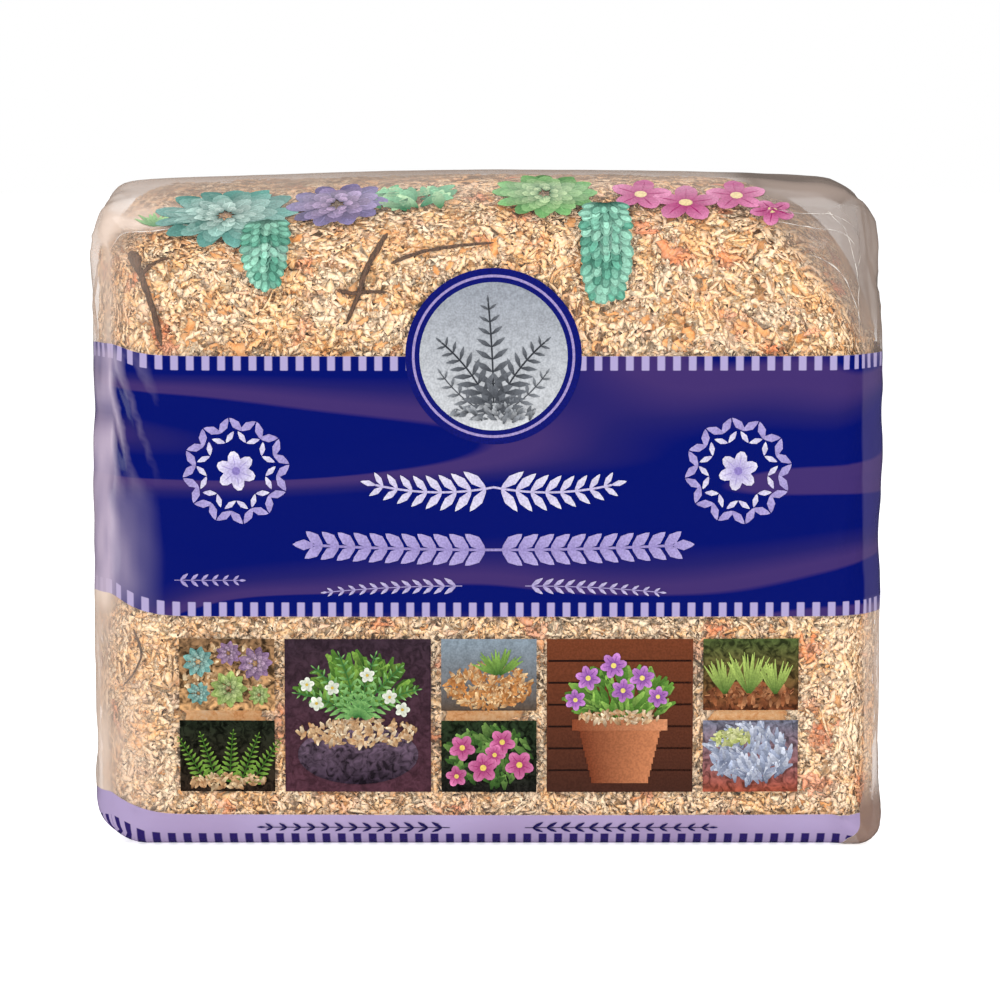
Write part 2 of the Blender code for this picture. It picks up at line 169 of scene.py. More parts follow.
@dataclass(frozen=True)
class BagForm:
    """The rounded box, crowned by its stuffing, that the bag, its print and the bale share."""

    half_width: float = 0.1235
    half_depth: float = 0.0400
    height: float = 0.2084
    top_radius: float = 0.022
    bottom_radius: float = 0.012
    front_crown: float = 0.0038
    top_crown: float = 0.0042
    end_crown: float = 0.0018
    shoulder_drop: float = 0.0058
    tuck_depth: float = 0.0022
    slow_wave: float = 0.00022
    ridge_height: float = 0.0010
    ridge_spread: float = 0.006
    seam_width: float = 0.014
    seam_height: float = 0.0012
    slump_start: float = 0.070
    slump_radius: float = 0.060
    slump_base: float = 0.100

    @property
    def girth(self) -> float:
        """The way round the box, from the front's left edge back to it."""
        return 4 * (self.half_width + self.half_depth)

    @property
    def size(self) -> Vector:
        """The plain box's size."""
        return Vector((2 * self.half_width, 2 * self.half_depth, self.height))

    def wrap(self, along: Array, up: Array) -> Array:
        """Lays a flat strip round the box's four sides, and over its top and bottom edges.

        Args:
            along: Way round from the front's left edge, to the right.
            up: Height. Past the box's height it runs in over the top, and under zero in below.

        Returns:
            Points of the plain box, N by 3.
        """
        wide, deep = 2 * self.half_width, 2 * self.half_depth
        way = np.mod(along, self.girth)
        over = np.maximum(up - self.height, 0) + np.maximum(-up, 0)
        over = np.minimum(over, self.half_depth)
        sides = [way < wide, way < wide + deep, way < 2 * wide + deep]
        x = np.select(sides, [
            way - self.half_width, self.half_width - over, wide + deep + self.half_width - way,
        ], -self.half_width + over)
        y = np.select(sides, [
            -self.half_depth + over, way - wide - self.half_depth, self.half_depth - over,
        ], 2 * wide + deep + self.half_depth - way)
        return np.stack([x, y, np.clip(up, 0, self.height)], axis=1)

    def end_relief(self, y: Array, z: Array) -> Array:
        """How far a sealed end stands out: tucked triangles, fold ridges and the seam folded flat."""
        edge = np.minimum(z, self.height - z)
        inside = self.half_depth - np.abs(y) - edge
        tuck = -self.tuck_depth * smooth(inside / self.half_depth)
        ridge = self.ridge_height * np.exp(-((inside / self.ridge_spread) ** 2))
        on_seam = smooth((y + 0.002) / 0.004) * smooth((self.seam_width - y) / 0.004)
        return tuck + ridge + self.seam_height * on_seam * smooth((edge - 0.018) / 0.012)

    def place(self, corner: Array, depth: Array | float, folds: float) -> Array:
        """Turns points of the plain box into points of the stuffed bag.

        Args:
            corner: Points of the plain box, N by 3.
            depth: How far under the bag's outer face each one lies.
            folds: 1 for the film with its folds, 0 for what it holds.

        Returns:
            Points in the row's frame, N by 3.
        """
        x, y, z = corner.T
        radius = self.bottom_radius + (self.top_radius - self.bottom_radius) * z / self.height
        inner = np.stack([
            np.clip(x, radius - self.half_width, self.half_width - radius),
            np.clip(y, radius - self.half_depth, self.half_depth - radius),
            np.clip(z, self.bottom_radius, self.height - self.top_radius),
        ], axis=1)
        out = corner - inner
        out /= np.maximum(np.linalg.norm(out, axis=1), 1e-9)[:, None]
        point = inner + out * radius[:, None]
        across = np.maximum(1 - (point[:, 0] / self.half_width) ** 2, 0)
        along = np.maximum(1 - (point[:, 1] / self.half_depth) ** 2, 0)
        up = np.maximum(1 - (2 * point[:, 2] / self.height - 1) ** 2, 0)
        slow = np.sin(point[:, 0] * 31 + point[:, 2] * 58) + np.sin(point[:, 2] * 96 - point[:, 0] * 17 + 1.3)
        swell = self.front_crown * (across * up) ** 0.45 + folds * self.slow_wave * slow
        point[:, 1] += out[:, 1] * np.abs(out[:, 1]) * swell
        end = self.end_crown * (along * up) ** 0.5 + folds * self.end_relief(point[:, 1], point[:, 2])
        point[:, 0] += out[:, 0] * np.abs(out[:, 0]) * end
        point[:, 2] += np.maximum(out[:, 2], 0) * self.top_crown * across**0.5 * along**0.4
        left = smooth(-point[:, 0] / self.half_width * 1.3)
        front = smooth(0.5 - point[:, 1] / self.half_depth / 2)
        point[:, 2] -= self.shoulder_drop * left * front * smooth((point[:, 2] / self.height - 0.86) / 0.14)
        point -= out * np.asarray(depth).reshape(-1, 1)
        point[:, 2] = np.maximum(point[:, 2], np.maximum(depth, 0))
        return point

    def slumped(self, point: Array) -> Array:
        """Rounds off the bale's top right corner, where the moss has settled away from the film."""
        over = np.clip(point[:, 0] - self.slump_start, 0, self.slump_radius)
        drop = self.slump_radius - np.sqrt(self.slump_radius**2 - over**2)
        share = np.maximum(point[:, 2] - self.slump_base, 0) / (self.height - self.slump_base)
        point[:, 2] -= drop * share
        return point


FORM = BagForm()


@dataclass(frozen=True)
class FilmFolds:
    """The film's own waves, wrinkles, puckers and creases, on top of the bag's form."""

    wave: float = 0.00045
    wrinkle: float = 0.00010
    pucker: float = 0.0011
    pucker_pitch: float = 0.0085
    corners: tuple[float, float, float, float] = (0.0056, 0.0026, -0.0014, 0.0030)
    corner_radii: Pair = (0.022, 0.014)
    right_pinch: float = 0.0020
    corner_crumple: float = 0.0016
    end_crumple: float = 0.0007
    crease_width: float = 0.0011
    crimp: float = 0.00012
    crimp_pitch: float = 0.0042
    corner_creases: tuple = (
        ((0.088, 0.2060), (0.1180, 0.1950), 0.0009),
        ((0.118, 0.1950), (0.1235, 0.1820), 0.0009),
        ((0.100, 0.1990), (0.1140, 0.2080), 0.0006),
        ((0.104, 0.1880), (0.1235, 0.1760), 0.0006),
        ((0.112, 0.1860), (0.1150, 0.1560), 0.0007),
        ((-0.1235, 0.1960), (-0.0900, 0.2084), 0.0007),
    )

    def relief(self, corner: Array) -> Array:
        """How far out of the bag's form the film lies at points of the plain box."""
        x, y, z = corner.T
        front = smooth(-y / FORM.half_depth)
        band = smooth((z - 0.079) / 0.010) * smooth((0.153 - z) / 0.010)
        side = smooth((np.abs(x) - 0.112) / 0.010)
        relief = self.wave * (0.35 + 0.65 * band) * waves(corner, (0.085, 0.085, 0.022), 3.1)
        relief += self.wrinkle * waves(corner, (0.010, 0.010, 0.007), 9.7) * (1 + 2 * side)
        relief -= self.pucker * front * self.puckers(corner)
        relief -= self.right_pinch * smooth((x - 0.118) / 0.005) * np.exp(-(((z - 0.184) / 0.013) ** 2))
        loose = smooth((x - 0.082) / 0.020) * smooth((z - 0.176) / 0.020)
        relief -= self.corner_crumple * loose * np.abs(waves(corner, (0.022, 0.022, 0.016), 7.3)) ** 0.8
        relief += self.end_crumple * side * waves(corner, (0.016, 0.012, 0.024), 1.7)
        for start, end, height in self.corner_creases:
            relief += height * front * np.exp(-((self.away(x, z, start, end) / self.crease_width) ** 2))
        crimp = smooth((y + 0.001) / 0.002) * smooth((0.013 - y) / 0.002) * side
        relief += self.crimp * crimp * np.sin(z * 2 * math.pi / self.crimp_pitch)
        return relief

    def puckers(self, corner: Array) -> Array:
        """How deep the slanted puckers by the band's two ends are, from 0 to 1."""
        x, _, z = corner.T
        bent = 1.5 * waves(corner, (0.022, 0.022, 0.022), 5.0)
        slant = np.sin((0.93 * np.abs(x) - 0.42 * z) * 2 * math.pi / self.pucker_pitch + bent)
        near = np.exp(-(((np.abs(x) - 0.1165) / 0.010) ** 2) - ((z - 0.1370) / 0.018) ** 2)
        low = np.exp(-(((x - 0.1165) / 0.009) ** 2) - ((z - 0.1000) / 0.020) ** 2)
        return (near * np.where(x < 0, 1.0, 0.35) + 0.7 * low) * (1 - slant) / 2

    def squareness(self, x: Array, z: Array) -> Array:
        """How far the film's corners stand out of the form's round ones: top left and right, then low."""
        relief = np.zeros(len(x))
        for number, reach in enumerate(self.corners):
            low, right = number > 1, number % 2
            radius = self.corner_radii[low]
            power = 1 / (0.5 - math.log2(1 + reach / radius))
            aside = np.maximum(np.abs(x) - FORM.half_width + radius, 1e-9)
            edge = np.maximum(radius - (z if low else FORM.height - z), 1e-9)
            far = np.hypot(aside, edge)
            square = ((aside / far) ** power + (edge / far) ** power) ** (-1 / power)
            inside = (aside > 1e-8) & (edge > 1e-8) & ((x > 0) == right)
            relief += radius * (square - 1) * inside
        return relief

    def pulled_in(self, corner: Array) -> Array:
        """How far a corner of the film, and the moss behind it, lies inside the form's round one."""
        return np.maximum(-self.squareness(corner[:, 0], corner[:, 2]), 0)

    @staticmethod
    def away(x: Array, z: Array, start: tuple, end: tuple) -> Array:
        """Distances of points (x, z) from the segment from start to end."""
        run = np.array(end) - np.array(start)
        from_start = np.stack([x - start[0], z - start[1]], axis=1)
        share = np.clip(from_start @ run / (run @ run), 0, 1)
        return np.linalg.norm(from_start - share[:, None] * run, axis=1)

    def skin(self, corner: Array, proud: Array | float) -> Array:
        """Points of the film's outer face, moved out by proud."""
        flat = smooth((corner[:, 2] - 0.0005) / 0.004)
        relief = self.relief(corner) * flat + self.squareness(corner[:, 0], corner[:, 2])
        return FORM.place(corner, -(proud + relief), 1.0)


FOLDS = FilmFolds()


class Modeller:
    """Makes and finishes mesh objects with the tools that a person at the screen would use."""

    @staticmethod
    def clear_selection() -> None:
        """Deselects everything."""
        bpy.ops.object.select_all(action="DESELECT")

    @staticmethod
    def cut_edges(obj: bpy.types.Object, axis: int, cuts: int) -> None:
        """Subdivides every edge that runs along one axis.

        Args:
            obj: The object, which is the active one.
            axis: 0, 1 or 2 for X, Y or Z.
            cuts: How many cuts each edge gets.
        """
        bpy.ops.object.mode_set(mode="EDIT")
        bpy.ops.mesh.select_mode(type="EDGE")
        bpy.ops.mesh.select_all(action="DESELECT")
        mesh = bmesh.from_edit_mesh(obj.data)
        for edge in mesh.edges:
            run = edge.verts[0].co - edge.verts[1].co
            edge.select_set(abs(run[axis]) > 0.9 * run.length)
        bmesh.update_edit_mesh(obj.data)
        bpy.ops.mesh.subdivide(number_cuts=cuts)
        bpy.ops.object.mode_set(mode="OBJECT")

    @classmethod
    def cut_box(cls, name: str, size: Vector, cuts: tuple[int, int, int]) -> bpy.types.Object:
        """A box standing on the ground, cut into even cells.

        Args:
            name: The object's name.
            size: The box's size.
            cuts: How many cuts it gets along X, Y and Z.

        Returns:
            The box, with its place and size in its mesh.
        """
        cls.clear_selection()
        bpy.ops.mesh.primitive_cube_add(size=1, location=(0, 0, size.z / 2), scale=size)
        box = bpy.context.object
        box.name = box.data.name = name
        bpy.ops.object.transform_apply(location=True, rotation=True, scale=True)
        for axis, count in enumerate(cuts):
            cls.cut_edges(box, axis, count)
        return box

    @classmethod
    def cylinder(cls, sides: int, radius: float, place: tuple, turned: tuple) -> bpy.types.Object:
        """A cylinder 1 long, with its place and turn in its mesh."""
        cls.clear_selection()
        bpy.ops.mesh.primitive_cylinder_add(vertices=sides, radius=radius, depth=1, location=place,
                                            rotation=turned)
        bpy.ops.object.transform_apply(location=True, rotation=True, scale=True)
        return bpy.context.object

    @classmethod
    def cut_rod(cls, sides: int, cuts: int) -> tuple[Array, Array]:
        """Vertices and triangles of a rod along X, 1 long and 1 in radius, cut into rings."""
        rod = cls.cylinder(sides, 1, (0, 0, 0), (0, math.pi / 2, 0))
        cls.cut_edges(rod, 0, cuts)
        return cls.take(rod)

    @staticmethod
    def points(obj: bpy.types.Object) -> Array:
        """The object's vertices, N by 3."""
        found = np.empty(len(obj.data.vertices) * 3)
        obj.data.vertices.foreach_get("co", found)
        return found.reshape(-1, 3)

    @classmethod
    def take(cls, obj: bpy.types.Object) -> tuple[Array, Array]:
        """The object's vertices, N by 3, and triangles, M by 3. The object itself is removed."""
        obj.data.calc_loop_triangles()
        triangles = np.empty(len(obj.data.loop_triangles) * 3, int)
        obj.data.loop_triangles.foreach_get("vertices", triangles)
        points = cls.points(obj)
        bpy.data.objects.remove(obj)
        return points, triangles.reshape(-1, 3)

    @staticmethod
    def move(obj: bpy.types.Object, points: Array) -> None:
        """Moves the object's vertices to points, and shades it smoothly."""
        obj.data.vertices.foreach_set("co", points.ravel())
        obj.data.update()
        obj.data.shade_smooth()

    @staticmethod
    def tint(obj: bpy.types.Object, tints: Array) -> None:
        """Gives each of the object's vertices its own colour, N by 4."""
        layer = obj.data.attributes.new(TINT_ATTRIBUTE, "FLOAT_COLOR", "POINT")
        layer.data.foreach_set("color", tints.astype(np.float32).ravel())

    @staticmethod
    def finish(obj: bpy.types.Object, material: bpy.types.Material, slot: str, *nodes: str) -> None:
        """Dresses a piece and ties it to the frame.

        Args:
            obj: The finished piece.
            material: Its material.
            slot: The record's material slot. Not used.
            *nodes: The CAD nodes that it stands for.
        """
        obj.data.materials.clear()
        obj.data.materials.append(material)
        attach(obj, "root")
        if nodes:
            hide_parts(*nodes)
        LOG.info("%s: %d faces", obj.name, len(obj.data.polygons))


@dataclass
class Batch:
    """Vertices, triangles and tints that are gathered for one piece."""

    points: list = field(default_factory=list)
    faces: list = field(default_factory=list)
    tints: list = field(default_factory=list)
    count: int = 0

    def gather(self, points: Array, faces: Array, tints: Array | None = None) -> None:
        """Adds a shape to the piece.

        Args:
            points: Its vertices, N by 3.
            faces: Its triangles, M by 3.
            tints: A colour for each vertex, N by 4, or None for white.
        """
        self.points.append(points)
        self.faces.append(faces + self.count)
        self.tints.append(np.ones((len(points), 4)) if tints is None else tints)
        self.count += len(points)

    def piece(self, name: str, crisp: bool = False) -> bpy.types.Object:
        """Makes one smoothly shaded object of what was gathered.

        Args:
            name: The piece's name.
            crisp: True to keep its sharp edges sharp in the shading.

        Returns:
            The new object.
        """
        data = bpy.data.meshes.new(name)
        data.from_pydata(np.concatenate(self.points), [], np.concatenate(self.faces))
        made = bpy.data.objects.new(name, data)
        Modeller.tint(made, np.concatenate(self.tints))
        data.shade_smooth()
        if crisp:
            data.set_sharp_from_angle(angle=math.radians(50))
        bpy.context.scene.collection.objects.link(made)
        return made


@dataclass(frozen=True)
class PrintedPolyethylene:
    """Blown polyethylene film, printed from behind: glossy and clear, with opaque bands of ink.

    To the eye it is a thin milky shine over the moss, partly painted highlight and reflection, and deep,
    wet-looking colour where it is inked; the violet laps in the navy are painted reflections of the lamps.
    """

    # The navy is the ink itself; the violet and indigo laid over it in laps are painted reflections of the
    # lamps on the film's waves.
    navy: str = "000a58"
    reflection_indigo: str = "1a1756"
    violet: str = "35255a"
    reflection_laps: float = 6.0
    lavender: str = "9187ac"
    foot: str = "a195b8"
    foot_shade: str = "84708f"
    foot_bar: str = "251a54"
    milk: str = "c8b4a6"
    # Darker grey of painted shade, for the hollow behind the loose top right corner.
    slack_shade: str = "8f8077"
    # Brown of painted shade, for moss in shade behind the clear corner wedge.
    tuck: str = "6a5046"
    # Pale lilac of a painted highlight over the band.
    highlight_veil: str = "a596a8"
    band_low: float = 0.075
    band_high: float = 0.157
    foot_low: float = -0.012
    foot_high: float = 0.0115
    foot_bar_high: float = 0.0032
    wedge: Pair = (0.2385, 0.2650)
    wedge_slope: float = -0.35
    slack: Pair = (0.2300, 0.2420)
    slack_slope: float = 0.75
    corner_shade_heights: Pair = (0.0130, 0.0300)
    corner_shade_cover: float = 0.86
    bar_pitch: float = 0.0049
    bar_height: float = 0.0045
    bar_share: float = 0.52
    edge: float = 0.00012
    glance_power: float = 5.0
    glance_share: float = 0.55
    roughness: float = 0.17
    specular: float = 0.24

    def step(self, tree: bpy.types.NodeTree, value: Source, at: float, rising: bool, soft: float) -> Source:
        """A crisp printed edge.

        Args:
            tree: The material's nodes.
            value: What the edge is across.
            at: Where it lies.
            rising: True for 0 to 1.
            soft: Half the edge's width.

        Returns:
            What holds it.
        """
        return add(tree, "MapRange", {
            "Value": value, "From Min": at - soft, "From Max": at + soft,
            "To Min": 0.0 if rising else 1.0, "To Max": 1.0 if rising else 0.0,
        })

    def window(self, tree: bpy.types.NodeTree, value: Source, low: float, high: float) -> Source:
        """1 where value lies from low to high, and 0 outside."""
        return add(tree, "Math", {
            0: self.step(tree, value, low, True, self.edge),
            1: self.step(tree, value, high, False, self.edge),
        }, operation="MULTIPLY")

    @staticmethod
    def coated(tree: bpy.types.NodeTree, base: Source | tuple, *coats: tuple) -> Source:
        """Lays coats of colour over a base.

        Args:
            tree: The material's nodes.
            base: The colour underneath.
            *coats: How much each coat covers, and its colour.

        Returns:
            The colour that is seen.
        """
        for share, colour in coats:
            base = add(tree, "Mix", {0: share, 6: base, 7: colour}, data_type="RGBA").outputs[2]
        return base

    def make(self) -> bpy.types.Material:
        """The film's material."""
        made, tree = blank("printed_polyethylene_film")
        way = add(tree, "SeparateXYZ", {0: add(tree, "UVMap", uv_map=PRINT_MAP)})
        along, up = way.outputs[0], way.outputs[1]
        place = add(tree, "TexCoord").outputs["Object"]

        band = self.window(tree, up, self.band_low, self.band_high)
        inside = self.window(tree, up, self.band_low + self.bar_height, self.band_high - self.bar_height)
        turn = add(tree, "Math", {0: along, 1: self.bar_pitch}, operation="DIVIDE")
        part = add(tree, "Math", {0: turn}, operation="FRACT")
        soft = self.edge / self.bar_pitch * 1.5
        bars = add(tree, "Math", {
            0: self.step(tree, part, soft, True, soft), 1: self.step(tree, part, self.bar_share, False, soft),
        }, operation="MULTIPLY")
        edges = add(tree, "Math", {0: bars, 1: inside}, operation="SUBTRACT", use_clamp=True)

        # Painted reflection: slanted noise cut into laps turns the navy ink violet and indigo in streaks,
        # standing for the lamps mirrored in the film's slow waves.
        slanted = add(tree, "Mapping", {"Vector": place, "Rotation": (0.0, 0.10, 0.0),
                                        "Scale": (5.0, 5.0, 21.0)})
        reflection_flow = add(tree, "TexNoise", {"Vector": slanted, "Scale": 1.0, "Detail": 0.6, "Distortion": 0.35})
        reflection_laps = add(tree, "Math", {0: reflection_flow, 1: self.reflection_laps}, operation="MULTIPLY")
        reflection_lap = add(tree, "Math", {0: reflection_laps}, operation="FRACT")
        ink = add(tree, "ValToRGB", {0: reflection_lap}, stops=[
            (0.00, self.violet), (0.10, self.violet), (0.28, self.reflection_indigo),
            (0.46, self.navy), (0.96, self.navy), (1.00, self.violet),
        ])
        haze = add(tree, "Attribute", attribute_name=FILM_ATTRIBUTE).outputs["Fac"]
        # Painted highlight: a pale lilac veil over the band where the film is milkiest, mostly down its left
        # edge.
        highlight_veil = add(tree, "MapRange", {"Value": haze, "From Min": 0.10, "From Max": 0.95, "To Max": 0.90})
        barred = self.coated(tree, ink.outputs[0], (edges, linear(self.lavender)), (highlight_veil, linear(self.highlight_veil)))

        slant = add(tree, "Math", {0: up, 1: self.wedge_slope, 2: along}, operation="MULTIPLY_ADD")
        wedge = self.window(tree, slant, *self.wedge)
        foot = add(tree, "Math", {0: self.window(tree, up, self.foot_low, self.foot_high), 1: wedge},
                   operation="SUBTRACT", use_clamp=True)
        low_bars = add(tree, "Math", {
            0: add(tree, "Math", {0: 1.0, 1: bars}, operation="SUBTRACT"),
            1: self.step(tree, up, self.foot_bar_high, False, self.edge),
        }, operation="MULTIPLY")
        shade = add(tree, "TexNoise", {"Vector": place, "Scale": 22.0, "Detail": 2.0})
        footed = self.coated(tree, linear(self.foot), (shade, linear(self.foot_shade)),
                             (low_bars, linear(self.foot_bar)))

        # Painted shade: the loose top right corner of the film is coloured a darker grey, for the dark hollow
        # behind it.
        spot = add(tree, "SeparateXYZ", {0: place})
        corner = add(tree, "Math", {0: spot.outputs[2], 1: self.slack_slope, 2: spot.outputs[0]},
                     operation="MULTIPLY_ADD")
        slack = add(tree, "MapRange", {"Value": corner, "From Min": self.slack[0], "From Max": self.slack[1]})
        # Painted shade: low in the clear wedge at the bottom right the film turns brown and nearly opaque,
        # for the moss in shade behind it.
        low = add(tree, "MapRange", {"Value": up, "From Min": self.corner_shade_heights[0], "To Min": self.corner_shade_cover,
                                     "From Max": self.corner_shade_heights[1], "To Max": 0.0})
        dim = add(tree, "Math", {0: low, 1: wedge}, operation="MULTIPLY")
        loose = self.coated(tree, linear(self.milk), (slack, linear(self.slack_shade)), (dim, linear(self.tuck)))
        colour = self.coated(tree, loose, (band, barred), (foot, footed))

        facing = add(tree, "LayerWeight", {"Blend": 0.5}).outputs["Facing"]
        glance = add(tree, "Math", {0: facing, 1: self.glance_power}, operation="POWER")
        cover = add(tree, "Math", {0: glance, 1: self.glance_share, 2: haze}, operation="MULTIPLY_ADD")
        for opaque in (band, dim, foot):
            cover = add(tree, "Math", {0: cover, 1: opaque}, operation="MAXIMUM", use_clamp=opaque is foot)
        ripple = add(tree, "TexNoise", {"Vector": place, "Scale": 160.0, "Detail": 2.0})
        bump = add(tree, "Bump", {"Strength": 0.10, "Distance": 0.0006, "Height": ripple})
        film = add(tree, "BsdfPrincipled", {
            "Base Color": colour, "Roughness": self.roughness, "Specular IOR Level": self.specular,
            "Normal": bump,
        })
        mixed = add(tree, "MixShader", {0: cover, 1: add(tree, "BsdfTransparent"), 2: film})
        add(tree, "OutputMaterial", {"Surface": mixed})
        return made


@dataclass(frozen=True)
class PrintingInk:
    """Gravure ink under a gloss: smooth, slightly wet-looking colour with a fine screen of dots.

    The dots are drawn at 0.6 mm, coarser than real screen dots, so that they still show.
    """

    roughness: float = 0.20
    specular: float = 0.35
    strength: float = 0.62
    dots_per_metre: float = 1700.0
    leaf_mm: float = 2.6
    plain: Pair = (0.86, 1.12)
    leafy: Pair = (0.10, 2.1)

    def make(self) -> bpy.types.Material:
        """The ink's material, coloured by each shape's own tint."""
        made, tree = blank("gravure_ink")
        tint = add(tree, "Attribute", attribute_name=TINT_ATTRIBUTE)
        place = add(tree, "TexCoord").outputs["Object"]
        dots = add(tree, "TexNoise", {"Vector": place, "Scale": self.dots_per_metre, "Detail": 0.0})
        leaves = add(tree, "TexNoise", {"Vector": place, "Scale": 1000 / self.leaf_mm, "Detail": 3.0,
                                        "Distortion": 1.2})
        level, shade = (add(tree, "MapRange", {
            "Value": value, "From Min": low, "From Max": high,
            "To Min": share[0] * self.strength, "To Max": share[1] * self.strength,
        }) for value, low, high, share in ((dots, 0.3, 0.7, self.plain), (leaves, 0.36, 0.66, self.leafy)))
        busy = add(tree, "Mix", {0: tint.outputs["Alpha"], 2: level.outputs[0], 3: shade.outputs[0]})
        colour = add(tree, "VectorMath", {0: tint.outputs["Color"], 1: busy}, operation="MULTIPLY")
        ink = add(tree, "BsdfPrincipled", {
            "Base Color": colour, "Roughness": self.roughness, "Specular IOR Level": self.specular,
        })
        add(tree, "OutputMaterial", {"Surface": ink})
        return made


@dataclass(frozen=True)
class DriedSphagnum:
    """Air-dried sphagnum: matt, papery leaves from cream to rust.

    Each strand's tint holds how pale it is, with painted shade and light in it, how rusty it is, how many
    leaves along it a point lies, and how far it is from the stem. The small pointed leaves overlap like tiles
    down to the stem's tip, each tile painted darker at one end as shade where the leaves overlap.
    """

    stops: tuple = (
        (0.00, "a8662c"), (0.20, "d08a46"), (0.40, "e9a968"),
        (0.60, "f4c48b"), (0.80, "f6d2a5"), (1.00, "f8e0bf"),
    )
    rust: str = "eca794"
    leaf_width_mm: float = 0.7
    flake_mm: float = 1.6
    leaf_sweep: float = 0.9
    flake_share: float = 0.22
    flake_edge_shade: float = 0.22
    fleck_share: float = 0.46
    tile_shade: float = 0.30
    darker: float = 0.38
    roughness: float = 0.85
    specular: float = 0.2

    def make(self) -> bpy.types.Material:
        """The moss's material."""
        made, tree = blank("dried_sphagnum")
        tint = add(tree, "Attribute", attribute_name=TINT_ATTRIBUTE)
        pale, rusty, leaf = add(tree, "SeparateXYZ", {0: tint.outputs["Color"]}).outputs
        from_stem = tint.outputs["Alpha"]
        # Painted shade: the tile pattern makes each small leaf darker at one end, where the next leaf
        # overlaps it; it also drives the bump.
        swept = add(tree, "Math", {0: from_stem, 1: -self.leaf_sweep, 2: leaf}, operation="MULTIPLY_ADD")
        tile = add(tree, "Math", {0: swept}, operation="FRACT")
        place = add(tree, "TexCoord").outputs["Object"]
        fleck = add(tree, "TexNoise", {"Vector": place, "Scale": 1000 / self.leaf_width_mm, "Detail": 2.0})
        warp = add(tree, "TexNoise", {"Vector": place, "Scale": 260.0, "Detail": 1.0})
        bent = add(tree, "VectorMath", {0: warp.outputs["Color"], 1: (0.006, 0.006, 0.006), 2: place},
                   operation="MULTIPLY_ADD")
        # Painted shade: each flake is darker towards its edge, where it meets its neighbours.
        flake = add(tree, "TexVoronoi", {"Vector": bent, "Scale": 1000 / self.flake_mm})
        cell = add(tree, "SeparateXYZ", {0: flake.outputs["Color"]})
        for pattern, share in ((cell, self.flake_share), (flake, -self.flake_edge_shade), (fleck, self.fleck_share),
                               (tile, self.tile_shade)):
            pale = add(tree, "Math", {0: pattern, 1: share, 2: pale}, operation="MULTIPLY_ADD")
        pale = add(tree, "Math", {0: pale, 1: self.darker}, operation="SUBTRACT", use_clamp=True)
        body = add(tree, "ValToRGB", {0: pale}, stops=self.stops)
        colour = add(tree, "Mix", {0: rusty, 6: body, 7: linear(self.rust)}, data_type="RGBA",
                     blend_type="MULTIPLY").outputs[2]
        relief = add(tree, "Math", {0: tile, 1: 0.6, 2: fleck}, operation="MULTIPLY_ADD")
        bump = add(tree, "Bump", {"Strength": 0.4, "Distance": 0.0003, "Height": relief})
        moss = add(tree, "BsdfPrincipled", {
            "Base Color": colour, "Roughness": self.roughness, "Specular IOR Level": self.specular,
            "Normal": bump,
        })
        add(tree, "OutputMaterial", {"Surface": moss})
        return made


@dataclass(frozen=True)
class DryBark:
    """Dry heather bark: dull grey-brown, split along its grain every half millimetre or so."""

    dark: str = "20130b"
    pale: str = "64422b"
    grain_mm: float = 0.5
    roughness: float = 0.8

    def make(self) -> bpy.types.Material:
        """The bark's material."""
        made, tree = blank("dry_bark")
        place = add(tree, "TexCoord").outputs["Object"]
        long = add(tree, "Mapping", {"Vector": place, "Scale": (1.0, 1.0, 0.25)})
        grain = add(tree, "TexNoise", {"Vector": long, "Scale": 1000 / self.grain_mm, "Detail": 3.0})
        colour = add(tree, "ValToRGB", {0: grain}, stops=[(0.3, self.dark), (0.7, self.pale)])
        bump = add(tree, "Bump", {"Strength": 0.7, "Distance": 0.0004, "Height": grain})
        bark = add(tree, "BsdfPrincipled", {
            "Base Color": colour, "Roughness": self.roughness, "Normal": bump,
        })
        add(tree, "OutputMaterial", {"Surface": bark})
        return made


